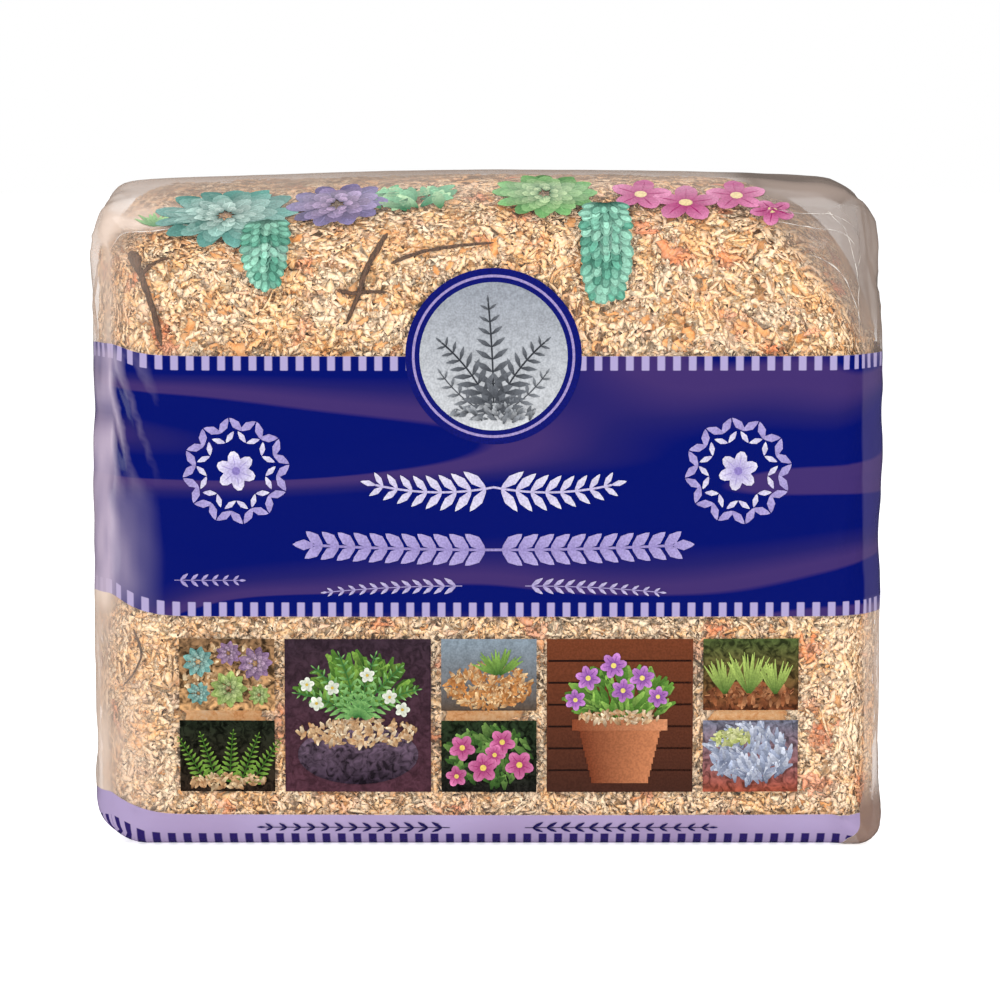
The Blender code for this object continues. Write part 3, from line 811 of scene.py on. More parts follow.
@dataclass
class PrintedFilm:
    """The bag itself: one closed film with its bands, folds and milky places."""

    cuts: tuple[int, int, int] = (134, 44, 112)
    lift: float = 0.0066
    lift_reach: float = 0.013
    clearest: float = 0.03
    milkiest: float = 0.95
    left_edge_reach: float = 0.0080
    band_foot: float = 0.078
    band_top: float = 0.156
    blur: float = 0.004
    shoulder: float = 0.2070
    shoulder_slope: float = 0.36
    slack_start: Pair = (0.079, 0.206)
    end_start: float = 0.1200
    finish: PrintedPolyethylene = PrintedPolyethylene()

    def build(self) -> None:
        """Models the film and dresses it."""
        film = Modeller.cut_box("printed_film", FORM.size, self.cuts)
        corner = Modeller.points(film)
        self.map_print(film, corner)
        haze = film.data.attributes.new(FILM_ATTRIBUTE, "FLOAT", "POINT")
        haze.data.foreach_set("value", self.haze(corner).astype(np.float32))
        Modeller.move(film, FOLDS.skin(corner, 0.0))
        Modeller.finish(film, self.finish.make(), "clear_film", "film_bag", "band_ink", "foot_ink")

    def map_print(self, film: bpy.types.Object, corner: Array) -> None:
        """Gives the film a map of the way round and the height, for the print.

        Args:
            film: The film, still a plain box.
            corner: Its vertices.
        """
        wide, deep = 2 * FORM.half_width, 2 * FORM.half_depth
        layer = film.data.uv_layers.new(name=PRINT_MAP)
        loops = np.empty(len(film.data.loops), int)
        film.data.loops.foreach_get("vertex_index", loops)
        normals = np.repeat([tuple(face.normal) for face in film.data.polygons], 4, axis=0)
        x, y, z = corner[loops].T
        ways = [normals[:, 1] < -0.5, normals[:, 0] > 0.5, normals[:, 1] > 0.5, normals[:, 0] < -0.5]
        along = np.select(ways, [
            x + FORM.half_width, wide + y + FORM.half_depth, wide + deep + FORM.half_width - x,
            2 * wide + deep + FORM.half_depth - y,
        ], x + FORM.half_width)
        inward = np.minimum(FORM.half_width - np.abs(x), FORM.half_depth - np.abs(y))
        up = np.where(normals[:, 2] < -0.5, -inward, z)
        up = np.where(normals[:, 2] > 0.5, z + inward, up)
        lift = self.lift * np.exp(-(((x + FORM.half_width) / self.lift_reach) ** 2))
        lift *= smooth(-y / 0.030) * smooth(z / 0.006) * (1 - 0.5 * smooth((z - 0.100) / 0.045))
        layer.data.foreach_set("uv", np.stack([along, up - lift], axis=1).astype(np.float32).ravel())

    def haze(self, corner: Array) -> Array:
        """How milky the film is, partly painted highlight and reflection: clear where moss presses on it, and
        white where it stands off or folds.

        Args:
            corner: Points of the plain box.

        Returns:
            The share of light that the film itself sends back, from 0 to 1.
        """
        x, y, z = corner.T
        cloud = 0.5 + 0.5 * waves(corner, (0.030, 0.030, 0.045), 2.2)
        fine = 0.5 + 0.5 * waves(corner, (0.006, 0.006, 0.012), 4.4)
        front = smooth(-y / FORM.half_depth * 2 - 1)
        haze = self.clearest + 0.05 * cloud
        # Painted highlight: milky patches down the left rounded edge and the front's left end, fainter over
        # the windows and below the band.
        edge = np.exp(-np.maximum(x + FORM.half_width, 0) / self.left_edge_reach)
        edge *= smooth(0.5 - y / FORM.half_depth / 2)
        window = smooth((z - self.band_top) / self.blur)
        under_band = smooth((self.band_foot - z) / self.blur)
        haze += edge * (0.16 + 0.50 * cloud + 0.40 * fine) * (1 - 0.70 * window) * (1 - 0.35 * under_band)
        haze += 0.5 * smooth((-0.100 - x) / 0.014) * (cloud * fine) * front
        # Painted shade: the milk is cleared in the puckers' valleys at the left end, so that the navy shows
        # dark there.
        haze -= 0.75 * FOLDS.puckers(corner) * (x < 0)
        # Milky where the film stands off the moss: over the left shoulder, on the top and at the loose top
        # right corner; part of this white is painted reflection of the lamps.
        boundary = self.shoulder - self.shoulder_slope * np.maximum(-0.085 - x, 0)
        shoulder = smooth((z - boundary) / 0.005) * smooth((0.06 - x) / 0.05)
        haze += shoulder * (0.40 + 0.35 * cloud * fine) * front
        top = smooth((z - FORM.height + 0.0010) / 0.001) * (1 - front)
        haze += top * (0.22 + 0.25 * cloud)
        slack = smooth(((x - self.slack_start[0]) + (z - self.slack_start[1]) * 0.75) / 0.012)
        slack *= smooth((z - 0.150) / 0.02)
        haze += slack * (0.42 + 0.22 * cloud)
        ends = smooth((np.abs(x) - self.end_start) / 0.003)
        haze += ends * (0.12 + 0.22 * (x > 0) * smooth((0.080 - z) / self.blur))
        return np.clip(haze, 0, self.milkiest)


class Stamp(Enum):
    """The flat shapes that the pictures are printed from, by their sides and how pointed they are.

    A petal has cells instead of sides, so that a large one can follow a rounded edge.
    """

    LEAF = (8, 0.62)
    SCRAP = (6, 0.45)
    PETAL = (5, 0.30)
    OVAL = (10, 0.0)
    NEEDLE = (6, 0.8)
    BAR = (4, 0.0)

    def model(self) -> tuple[Array, Array]:
        """Models the shape 1 long along X, 1 wide and 1 thick, with its top at 0.

        Returns:
            Its vertices and its triangles.
        """
        sides, pinch = self.value
        if self is Stamp.PETAL:
            points, faces = Modeller.take(Modeller.cut_box("petal", Vector((1, 1, 1)), (sides, 1, 0)))
            points -= (0, 0, 1)
            reach = np.clip(points[:, 0] + 0.5, 0.01, 0.985)
            points[:, 1] *= 2.15 * reach**0.75 * (1 - reach) ** 0.55
            return points, faces
        turn, radius = (math.pi / 4, math.sqrt(0.5)) if self is Stamp.BAR else (0.0, 0.5)
        points, faces = Modeller.take(Modeller.cylinder(sides, radius, (0, 0, -0.5), (0, 0, turn)))
        points[:, 1] *= 1 - pinch * np.abs(2 * points[:, 0]) ** 1.5
        return points, faces


@dataclass
class InkSheet(Batch):
    """Printed shapes that lie on the film, each a thin layer of ink that follows its folds."""

    first_layer: float = 0.00008
    layer_step: float = 0.00005
    sink: float = 0.00005
    plate_cell: float = 0.0028

    def lay(self, flat: Array, rise: Array, faces: Array, colours: Array, busy: float) -> None:
        """Lays flat shapes on the film.

        Args:
            flat: X and height of each vertex, N by 2.
            rise: How far each vertex stands off the film.
            faces: Triangles, M by 3.
            colours: The vertices' linear colours, N by 3.
            busy: How leafy the pattern in the ink is.
        """
        corner = FORM.wrap(flat[:, 0] + FORM.half_width, flat[:, 1])
        tints = np.concatenate([colours, np.full((len(flat), 1), busy)], axis=1)
        self.gather(FOLDS.skin(corner, rise), faces, tints)

    def stamp(self, shape: Stamp, places: Array, turns: Array, sizes: Array, root: Array, tip: Array,
              layer: float) -> None:
        """Prints many copies of one shape.

        Args:
            shape: The shape.
            places: The copies' middles: X and height, N by 2.
            turns: Their angles from X.
            sizes: Their lengths and widths, N by 2.
            root: Linear colours at their back ends, N by 3 or 3.
            tip: Linear colours at their front ends.
            layer: How many layers of ink lie under them.
        """
        base, triangles = shape.model()
        places, turns, sizes = np.atleast_2d(places), np.atleast_1d(turns)[:, None], np.atleast_2d(sizes)
        count, each = len(places), len(base)
        flat = spread_out(places, turns, base[None, :, 0] * sizes[:, :1], base[None, :, 1] * sizes[:, 1:])
        top = self.first_layer + self.layer_step * (layer + np.linspace(0, 0.9, count)[:, None])
        rise = np.where(base[None, :, 2] > -0.5, top, top - self.sink)
        share = (base[:, 0] + 0.5)[None, :, None]
        colours = np.broadcast_to(np.atleast_2d(root), (count, 3))[:, None] * (1 - share)
        colours = colours + np.broadcast_to(np.atleast_2d(tip), (count, 3))[:, None] * share
        self.lay(flat, rise.ravel(), copied(triangles, each, count), colours.reshape(-1, 3), 0.0)

    def plate(self, middle: Pair, size: Pair, top: str, bottom: str, layer: float, busy: float = 0.0,
              disc: bool = False) -> None:
        """Prints a large plate, cut finely enough to follow the film.

        Args:
            middle: Its middle: X and height.
            size: Its width and height.
            top: The hex colour at its top.
            bottom: The hex colour at its bottom.
            layer: How many layers of ink lie under it.
            busy: How leafy the pattern in the ink is.
            disc: True for a round plate.
        """
        cuts = [max(int(side / self.plate_cell), 2) for side in size]
        points, triangles = Modeller.take(Modeller.cut_box("plate", Vector((1, 1, 1)), (*cuts, 0)))
        u, v = 2 * points[:, 0], 2 * points[:, 1]
        if disc:
            u, v = u * np.sqrt(1 - v**2 / 2), v * np.sqrt(1 - u**2 / 2)
        flat = np.stack([middle[0] + u * size[0] / 2, middle[1] + v * size[1] / 2], axis=1)
        rise = self.first_layer + self.layer_step * layer - np.where(points[:, 2] > 0.5, 0, self.sink)
        share = ((v + 1) / 2)[:, None]
        self.lay(flat, rise, triangles, inks(bottom) * (1 - share) + inks(top) * share, busy)


@dataclass
class PlantPrinter:
    """Prints plain, made-up plants on a sheet of ink, round a middle and over a size of its own."""

    sheet: InkSheet
    draw: np.random.Generator
    middle: Pair = (0.0, 0.0)
    size: Pair = (0.0, 0.0)
    trail_step: float = 0.0026

    def at(self, right: float, up: float) -> Pair:
        """The place at shares of the size from the middle."""
        return self.middle[0] + right * self.size[0], self.middle[1] + up * self.size[1]

    def near(self, right: float, up: float) -> Pair:
        """The place at distances from the middle."""
        return self.middle[0] + right, self.middle[1] + up

    def vary(self, colours: Array, spread: float, count: int) -> Array:
        """Count colours, each a little lighter or darker by spread."""
        return colours * np.exp(self.draw.normal(0, spread, (count, 1)))

    def mix(self, palette: tuple[str, ...], count: int, spread: float) -> Array:
        """Picks count colours from a palette of hex ones, each lighter or darker by spread."""
        return self.vary(inks(*palette)[self.draw.integers(0, len(palette), count)], spread, count)

    def ground(self, top: str, bottom: str, busy: float) -> None:
        """Prints the plate behind a whole picture."""
        self.sheet.plate(self.middle, self.size, top, bottom, 0, busy)

    def sprig(self, start: Pair, turn: float, length: float, leaf: Pair, pairs: int, colours: tuple[str, str],
              layer: float, bend: float = 0.0, taper: float = 0.6, spread: float = 0.85) -> None:
        """Prints a stem with pairs of leaves.

        Args:
            start: Where the stem starts: X and height.
            turn: Its first heading.
            length: Its length.
            leaf: A leaf's length and width.
            pairs: How many pairs it has.
            colours: The leaves' colours at their roots and tips.
            layer: How many layers of ink lie under it.
            bend: How far its heading turns over its length.
            taper: The last leaves' size against the first's.
            spread: The angle between leaf and stem.
        """
        share = np.linspace(0, 1, 2 * pairs + 1)
        heading = turn + bend * share
        step = length / (2 * pairs)
        way = np.cumsum(headings(heading[:-1]) * step, axis=0)
        line = np.array(start) + np.concatenate([[[0, 0]], way])
        root, tip = inks(*colours)
        middles = (line[:-1] + line[1:]) / 2
        bars = np.tile([step * 1.15, leaf[1] * 0.20], (len(middles), 1))
        self.sheet.stamp(Stamp.BAR, middles, heading[:-1], bars, root, root, layer)
        knots = np.arange(1, 2 * pairs, 2)
        sizes = np.array(leaf) * (1 + (taper - 1) * share[knots])[:, None]
        for side in (-1, 1):
            lean = heading[knots] + side * spread
            out = headings(lean) * sizes[:, :1] / 2
            self.sheet.stamp(Stamp.LEAF, line[knots] + out, lean, sizes, root, tip, layer + 1)
        end = np.array(leaf) * taper
        ahead = headings(heading[-1:]) * end[0] / 2
        self.sheet.stamp(Stamp.LEAF, line[-1] + ahead, heading[-1], end, root, tip, layer + 1)

    def rosette(self, middle: Pair, radius: float, petals: int, rings: int, colours: tuple[str, str, str],
                layer: float, squash: float = 1.0, shape: Stamp = Stamp.PETAL) -> None:
        """Prints rings of leaves that spread from one middle, the outer ones first.

        Args:
            middle: X and height of its middle.
            radius: Its radius.
            petals: How many leaves the outer ring has.
            rings: How many rings it has.
            colours: The leaves' roots, their outer tips and their inner tips.
            layer: How many layers of ink lie under it.
            squash: Its height against its width.
            shape: The leaves' shape.
        """
        root, outer, inner = inks(*colours)
        for ring in range(rings):
            share = ring / rings
            count = max(petals - ring, 5)
            angles = 2 * math.pi * (np.arange(count) + 0.5 * (ring % 2)) / count
            angles += self.draw.normal(0, 0.05, count)
            reach = radius * (1 - 0.86 * share)
            long = reach * 0.66 * self.draw.uniform(0.92, 1.06, count)
            wide = np.full(count, reach * 2.5 / count * 1.75)
            tips = self.vary(outer + (inner - outer) * share, 0.14, count)
            places = np.array(middle) + headings(angles) * (reach - long / 2)[:, None] * (1, squash)
            turns = np.arctan2(np.sin(angles) * squash, np.cos(angles))
            sizes = np.stack([long * np.hypot(np.cos(angles), np.sin(angles) * squash), wide], axis=1)
            self.sheet.stamp(shape, places, turns, sizes, root, tips, layer + ring)
            self.sheet.stamp(Stamp.NEEDLE, places, turns, sizes * (0.8, 0.08), tips * 0.7, tips * 1.25,
                             layer + ring + 0.95)

    def blossom(self, middle: Pair, radius: float, petals: int, colours: tuple[str, str, str], layer: float,
                shape: Stamp = Stamp.OVAL) -> None:
        """Prints an open flower.

        Args:
            middle: X and height of its middle.
            radius: Its radius.
            petals: How many petals it has.
            colours: Petals at their roots, at their tips, and the eye.
            layer: How many layers of ink lie under it.
            shape: The petals' shape.
        """
        root, tip, eye = inks(*colours)
        angles = 2 * math.pi * np.arange(petals) / petals + self.draw.uniform(0, 6)
        places = np.array(middle) + headings(angles) * radius * 0.52
        sizes = np.tile([radius * 1.0, radius * 2.6 / petals * 1.5], (petals, 1))
        self.sheet.stamp(shape, places, angles, sizes, root, self.vary(tip, 0.10, petals), layer)
        self.sheet.stamp(Stamp.NEEDLE, places, angles, sizes * (0.7, 0.07), root, root, layer + 1)
        self.sheet.stamp(Stamp.OVAL, np.array(middle), 0.0, np.full(2, radius * 0.42), eye, eye, layer + 1.5)

    def clump(self, middle: Pair, size: Pair, count: int, leaf: Pair, roots: tuple[str, ...],
              tips: tuple[str, ...], layer: float, upright: float = 0.5, shape: Stamp = Stamp.SCRAP) -> None:
        """Prints a mound of loose leaves.

        Args:
            middle: X and height of the mound's middle.
            size: Its width and height.
            count: How many leaves it has.
            leaf: A leaf's mean length and width.
            roots: The leaves' colours at their roots.
            tips: Their colours at their tips.
            layer: How many layers of ink lie under it.
            upright: How much the leaves point up and out, from 0 to 1.
            shape: The leaves' shape.
        """
        angle = self.draw.uniform(0, 2 * math.pi, count)
        reach = np.sqrt(self.draw.random(count))
        away = headings(angle) * size * reach[:, None] / 2
        away = away[np.argsort(-away[:, 1])]
        out = np.arctan2(away[:, 1] + 0.6 * size[1], away[:, 0])
        turns = out * upright + (1 - upright) * self.draw.uniform(0, 2 * math.pi, count)
        turns += self.draw.normal(0, 0.35, count)
        sizes = np.array(leaf) * self.draw.uniform(0.7, 1.3, (count, 1))
        self.sheet.stamp(shape, np.array(middle) + away, turns, sizes, self.mix(roots, count, 0.2),
                         self.mix(tips, count, 0.2), layer)

    def fan(self, foot: Pair, reach: float, blades: int, width: float, colours: tuple[str, str], layer: float,
            spread: float) -> None:
        """Prints narrow blades that fan up from one foot.

        Args:
            foot: X and height of the foot.
            reach: The blades' length.
            blades: How many there are.
            width: Their width.
            colours: Their colours at the foot and at their tips.
            layer: How many layers of ink lie under them.
            spread: Half the fan's angle.
        """
        root, tip = inks(*colours)
        turns = math.pi / 2 + np.linspace(-spread, spread, blades) + self.draw.normal(0, 0.06, blades)
        long = reach * self.draw.uniform(0.75, 1.0, blades)
        middles = np.array(foot) + headings(turns) * long[:, None] / 2
        sizes = np.stack([long, np.full(blades, width)], axis=1)
        self.sheet.stamp(Stamp.NEEDLE, middles, turns, sizes, root, self.vary(tip, 0.15, blades), layer)

    def tendril(self, top: Pair, length: float, width: float, layer: float) -> None:
        """Prints a hanging trail of plump leaves, which gets wider and paler downwards.

        Args:
            top: X and height of its top.
            length: How far it hangs.
            width: Its width where it is widest.
            layer: How many layers of ink lie under it.
        """
        rows = int(length / self.trail_step)
        across = np.array([-1.0, 1.0, -0.5, 0.5, 0.0])
        count = len(across)
        for row in range(rows, -1, -1):
            share = row / rows
            bulge = 0.62 + 0.38 * math.sin(math.pi * min(0.15 + 0.85 * share, 1.0))
            turns = -math.pi / 2 + across * (1.15 - 0.5 * share) + self.draw.normal(0, 0.10, count)
            fall = np.abs(across) * 0.0012 - share * length
            spots = np.stack([across * width * 0.30 * bulge, fall], axis=1)
            spots += top + self.draw.normal(0, 0.0003, spots.shape)
            grown = self.draw.uniform(0.85, 1.12, (count, 1)) * (0.8 + 0.2 * bulge)
            sizes = np.array([width * 0.40, width * 0.24]) * grown
            under = layer + (rows - row) * 1.2
            tips = self.mix(("5f9f88", "78b29b", "8fc4ad"), count, 0.12)
            self.sheet.stamp(Stamp.OVAL, spots, turns, sizes, inks("17493c"), tips, under)
            ahead = headings(turns) * sizes[:, :1] * 0.16
            self.sheet.stamp(Stamp.OVAL, spots + ahead, turns, sizes * (0.52, 0.46), tips, tips * 1.5,
                             under + 0.95)

    def wreath(self, middle: Pair, count: int, radius: float, leaf: Pair, colours: tuple[str, str]) -> None:
        """Prints a ring of leaves that lean in and out by turns.

        Args:
            middle: X and height of its middle.
            count: How many leaves it has.
            radius: Its radius.
            leaf: A leaf's length and width.
            colours: The leaves' colours at their roots and tips.
        """
        angles = 2 * math.pi * np.arange(count) / count
        places = np.array(middle) + radius * headings(angles)
        lean = angles + math.pi / 2 + 0.8 * np.where(np.arange(count) % 2, 1, -1)
        self.sheet.stamp(Stamp.LEAF, places, lean, np.tile(leaf, (count, 1)), *inks(*colours), 1)

    def board(self, up: float, size: Pair, colours: tuple[str, str], layer: float) -> None:
        """Prints a level bar, up from the picture's middle, in colours from its left end to its right."""
        self.sheet.stamp(Stamp.BAR, self.near(0, up), 0.0, size, *inks(*colours), layer)


@dataclass
class Artwork:
    """All the printing on the front and the top: plain plants where a pack has its pictures and words."""

    emblem_middle: Pair = (0.0020, 0.1570)
    emblem_radius: float = 0.0275
    panel_low: float = 0.0190
    panel_high: float = 0.0680
    panel_gap: float = 0.0032
    small_width: float = 0.0300
    big_width: float = 0.0460
    seed: int = 5
    finish: PrintingInk = PrintingInk()

    def build(self) -> None:
        """Prints every sheet."""
        material = self.finish.make()
        draw = np.random.default_rng(self.seed)
        for name, slot, work in (
            ("emblem_print", "navy_ink", self.emblem),
            ("garland_print", "lavender_ink", self.garlands),
            ("picture_print", "navy_ink", self.pictures),
            ("top_plants_print", "lavender_ink", self.top_plants),
        ):
            sheet = InkSheet()
            work(PlantPrinter(sheet, draw))
            Modeller.finish(sheet.piece(name, crisp=True), material, slot)

    def emblem(self, printer: PlantPrinter) -> None:
        """Prints the round emblem: a plain rim round a grey fern."""
        printer.middle = self.emblem_middle
        wide = 2 * self.emblem_radius
        for layer, (share, top, bottom, busy) in enumerate((
            (1.0, "0b1372", "0b1372", 0.0), (0.925, "a796cc", "a796cc", 0.0),
            (0.895, "0b1372", "0b1372", 0.0), (0.84, "9aa0aa", "d5d7da", 0.10),
        )):
            size = (wide * share, wide * share)
            printer.sheet.plate(self.emblem_middle, size, top, bottom, layer, busy, True)
        grey = ("3c3f45", "777b82")
        for turn, bend, length in ((1.95, 0.50, 0.028), (1.20, -0.50, 0.028), (1.57, 0.10, 0.035)):
            printer.sprig(printer.near(0, -0.0185), turn, length, (0.0092, 0.0026), 9, grey, 4.5, bend,
                          0.30, 1.0)
        for side in (-1, 1):
            printer.sprig(printer.near(side * 0.001, -0.0185), 1.57 - side * 1.1, 0.020, (0.0060, 0.0018), 6,
                          ("55585e", "94989e"), 4.2, side * 0.5, 0.4, 0.9)
        printer.clump(printer.near(0, -0.0175), (0.026, 0.005), 60, (0.0030, 0.0012), ("35383d", "55585e"),
                      ("8d9197", "b4b7bb"), 6.5, 0.8)

    @staticmethod
    def garlands(printer: PlantPrinter) -> None:
        """Prints the pale sprigs on the navy band and the dark ones on the foot band."""
        white, lavender = ("c9bfe6", "e6e2f2"), ("9d8fca", "b7aadf")
        for side in (-1, 1):
            level = math.pi / 2 - side * 1.57
            printer.sprig((0.002, 0.1160), math.pi / 2 - side * 1.75, 0.037, (0.0092, 0.0033), 8, white, 1,
                          side * 0.42, 0.55, 0.80)
            printer.sprig((0.002, 0.0962), level, 0.056, (0.0082, 0.0040), 11, lavender, 1, side * 0.05,
                          0.85, 0.66)
            printer.sprig((0.002 + side * 0.010, 0.0848), level, 0.042, (0.0046, 0.0015), 12,
                          ("a99bcf", "cdc4e6"), 1, -side * 0.10, 0.5, 0.6)
            middle = (side * 0.0785, 0.1210)
            printer.wreath(middle, 24, 0.0146, (0.0058, 0.0026), lavender)
            printer.wreath(middle, 18, 0.0108, (0.0044, 0.0018), white)
            printer.blossom(middle, 0.0062, 6, ("a99bd6", "e9e4f6", "8f7fc4"), 2)
            printer.sprig((side * 0.012, 0.0068), level, 0.058, (0.0042, 0.0013), 13, ("1d1650", "2a2264"), 1,
                          0.0, 0.7, 0.6)
        printer.sprig((-0.0980, 0.0865), 0.0, 0.020, (0.0034, 0.0012), 6, lavender, 1, 0.0, 0.7, 0.7)

    def pictures(self, printer: PlantPrinter) -> None:
        """Prints the row of pictures, small ones in pairs between the two big ones."""
        left = -2.5 * self.panel_gap - 1.5 * self.small_width - self.big_width + 0.0005 + self.panel_gap / 2
        low_tall = (self.panel_high - self.panel_low - self.panel_gap) / 2
        for works in ((self.ferns, self.rosettes), (self.bowl,), (self.blossoms, self.mound), (self.pot,),
                      (self.dusty, self.grasses)):
            wide, tall = (self.small_width, low_tall)
            if len(works) == 1:
                wide, tall = self.big_width, self.panel_high - self.panel_low
            for work, low in zip(works, (self.panel_low, self.panel_high - tall)):
                printer.middle, printer.size = (left + wide / 2, low + tall / 2), (wide, tall)
                work(printer)
            left += wide + self.panel_gap

    @staticmethod
    def ferns(printer: PlantPrinter) -> None:
        """Prints fern fronds in the shade."""
        printer.ground("1c2418", "2c2018", 0.8)
        tall = printer.size[1]
        for share, turn, bend in ((-0.50, 2.05, 0.10), (-0.25, 1.85, 0.05), (0.05, 1.55, -0.1),
                                  (0.30, 1.25, -0.05), (0.55, 1.05, -0.10)):
            printer.sprig(printer.at(share * 0.45, -0.40), turn, tall * 0.74, (0.0042, 0.0015), 10,
                          ("3e6a22", "8fb84a"), 2, bend, 0.25, 1.1)
        printer.clump(printer.at(0, -0.36), (printer.size[0] * 0.8, tall * 0.22), 90, (0.0026, 0.0011),
                      ("8a5a34", "6c4427"), ("e0b483", "f0d3a6"), 4)

    @staticmethod
    def rosettes(printer: PlantPrinter) -> None:
        """Prints blue-green rosettes on a bed of moss."""
        printer.ground("7a5c40", "b98d5e", 0.9)
        wide, tall = printer.size
        printer.clump(printer.middle, (wide * 0.9, tall * 0.86), 150, (0.0027, 0.0011), ("7a4f2c", "a06b3c"),
                      ("e3bb88", "f3dcb2"), 1, 0.0)
        tones = (("28504e", "7fb5ad", "c5dfd0"), ("3f5c2a", "a8bf6a", "d9e0a6"),
                 ("4b3550", "a07fa4", "d9bccf"))
        spots = ((-0.30, 0.18, 0.20), (0.02, -0.20, 0.24), (0.30, 0.16, 0.22), (-0.30, -0.26, 0.15),
                 (0.34, -0.28, 0.14), (0.02, 0.30, 0.16))
        for number, (u, v, radius) in enumerate(spots):
            printer.rosette(printer.at(u, v), radius * tall * 1.1, 9, 4, tones[number % 3], 3,
                            shape=Stamp.LEAF)

    @staticmethod
    def blossoms(printer: PlantPrinter) -> None:
        """Prints pink blossoms over dark leaves."""
        printer.ground("22301c", "1c1a18", 0.8)
        wide, tall = printer.size
        printer.clump(printer.middle, (wide * 0.86, tall * 0.8), 110, (0.0048, 0.0019), ("1f3a1a", "2d4c22"),
                      ("4f7a34", "7ea552"), 1, 0.7)
        for u, v, radius in ((-0.28, 0.12, 0.0042), (-0.06, -0.16, 0.0048), (0.14, 0.20, 0.0042),
                             (0.32, -0.12, 0.0046), (-0.34, -0.28, 0.0034), (0.06, 0.02, 0.0034)):
            printer.blossom(printer.at(u, v), radius, 5, ("a3266a", "e07fb0", "f2d36a"), 3)

    @staticmethod
    def mound(printer: PlantPrinter) -> None:
        """Prints a loose heap of dry moss with a green tuft."""
        printer.ground("8b9aa6", "5b4a3c", 0.15)
        wide, tall = printer.size
        printer.clump(printer.at(0, -0.16), (wide * 0.88, tall * 0.62), 330, (0.0030, 0.0011),
                      ("8c4f24", "a5662f"), ("d9995a", "f0cf9c"), 1, 0.2)
        printer.fan(printer.at(0.1, -0.02), tall * 0.46, 17, 0.0012, ("2e5a24", "93bb55"), 3, 1.1)

    @staticmethod
    def dusty(printer: PlantPrinter) -> None:
        """Prints silvery leaves over red clay."""
        printer.ground("6c6f80", "9a4a34", 0.6)
        wide, tall = printer.size
        printer.clump(printer.at(0, 0.05), (wide * 0.86, tall * 0.78), 210, (0.0050, 0.0016),
                      ("5d6680", "7a819c"), ("aab3c9", "d7dcea"), 1, 0.75)
        printer.clump(printer.at(-0.2, 0.26), (wide * 0.4, tall * 0.2), 50, (0.0030, 0.0013),
                      ("7f8a3c", "98a24c"), ("d3d98a", "e6e6b0"), 3, 0.5)

    @staticmethod
    def grasses(printer: PlantPrinter) -> None:
        """Prints tufts of grass among bark."""
        printer.ground("4a5a2e", "6c3a22", 0.7)
        wide, tall = printer.size
        printer.clump(printer.at(0, -0.28), (wide * 0.9, tall * 0.36), 120, (0.0038, 0.0014),
                      ("4a2416", "6c3820"), ("a5643c", "c98a5c"), 1, 0.0)
        for u, reach in ((-0.27, 0.60), (-0.02, 0.72), (0.26, 0.56)):
            printer.fan(printer.at(u, -0.30), tall * reach, 19, 0.0011, ("2f5a1e", "b9cf6a"), 2, 0.55)

    @staticmethod
    def bowl(printer: PlantPrinter) -> None:
        """Prints a shallow bowl of moss with ferns and small white flowers."""
        printer.ground("3a2a35", "53303c", 0.35)
        printer.clump(printer.near(0, 0.010), (0.036, 0.018), 120, (0.0068, 0.0022), ("25401c", "31561f"),
                      ("5d8a34", "86b048"), 1, 0.9)
        for turn, bend in ((2.5, 0.5), (2.1, 0.35), (1.75, 0.2), (1.4, -0.2), (1.05, -0.35), (0.7, -0.5)):
            printer.sprig(printer.near(0, -0.001), turn, 0.021, (0.0058, 0.0017), 9, ("3f7a3c", "9ad07a"),
                          3, bend, 0.3, 1.0)
        for u, v in ((-0.013, 0.004), (-0.008, 0.009), (0.010, 0.006), (0.014, 0.002), (0.003, 0.013),
                     (-0.016, 0.010)):
            printer.blossom(printer.near(u, v), 0.0024, 5, ("cfd6c0", "f2f4e6", "d9b84a"), 6)
        printer.sheet.plate(printer.near(0, -0.0125), (0.038, 0.019), "6a5668", "2e2230", 4.5, 0.75, True)
        printer.clump(printer.near(0, -0.0055), (0.038, 0.0085), 190, (0.0030, 0.0012), ("8a5a34", "9a6a40"),
                      ("e6c193", "f6e2bf"), 6.5, 0.3)

    @staticmethod
    def pot(printer: PlantPrinter) -> None:
        """Prints a clay pot of violet flowers on a boarded bench."""
        printer.ground("7a3f24", "4a2a20", 0.0)
        wide, tall = printer.size
        for row in range(6):
            printer.board((row + 1) * tall / 7 - tall / 2, (wide * 0.98, 0.0006), ("2a1610", "35190f"), 2)
        printer.clump(printer.near(0, 0.006), (0.032, 0.016), 130, (0.0072, 0.0022), ("26481e", "34601f"),
                      ("6a9a3c", "93bd55"), 3, 0.9)
        for u, v, radius in ((-0.010, 0.012, 0.0040), (-0.002, 0.016, 0.0042), (0.007, 0.012, 0.0040),
                             (0.012, 0.006, 0.0034), (-0.014, 0.005, 0.0034), (0.001, 0.008, 0.0038)):
            printer.blossom(printer.near(u, v), radius, 6, ("7a3a9a", "d58fd8", "f6e07a"), 5)
        rows = 9
        for row in range(rows):
            share = row / (rows - 1)
            printer.board(share * 0.0165 - 0.0205, (0.018 + 0.008 * share, 0.00225), ("7c3c22", "d08458"),
                          4 + 0.02 * row)
        printer.board(-0.0030, (0.030, 0.0036), ("8c4628", "dd9468"), 6)
        printer.clump(printer.near(0, -0.0005), (0.027, 0.0040), 80, (0.0028, 0.0011), ("8a5a34", "9a6a40"),
                      ("e6c193", "f6e2bf"), 7, 0.3)

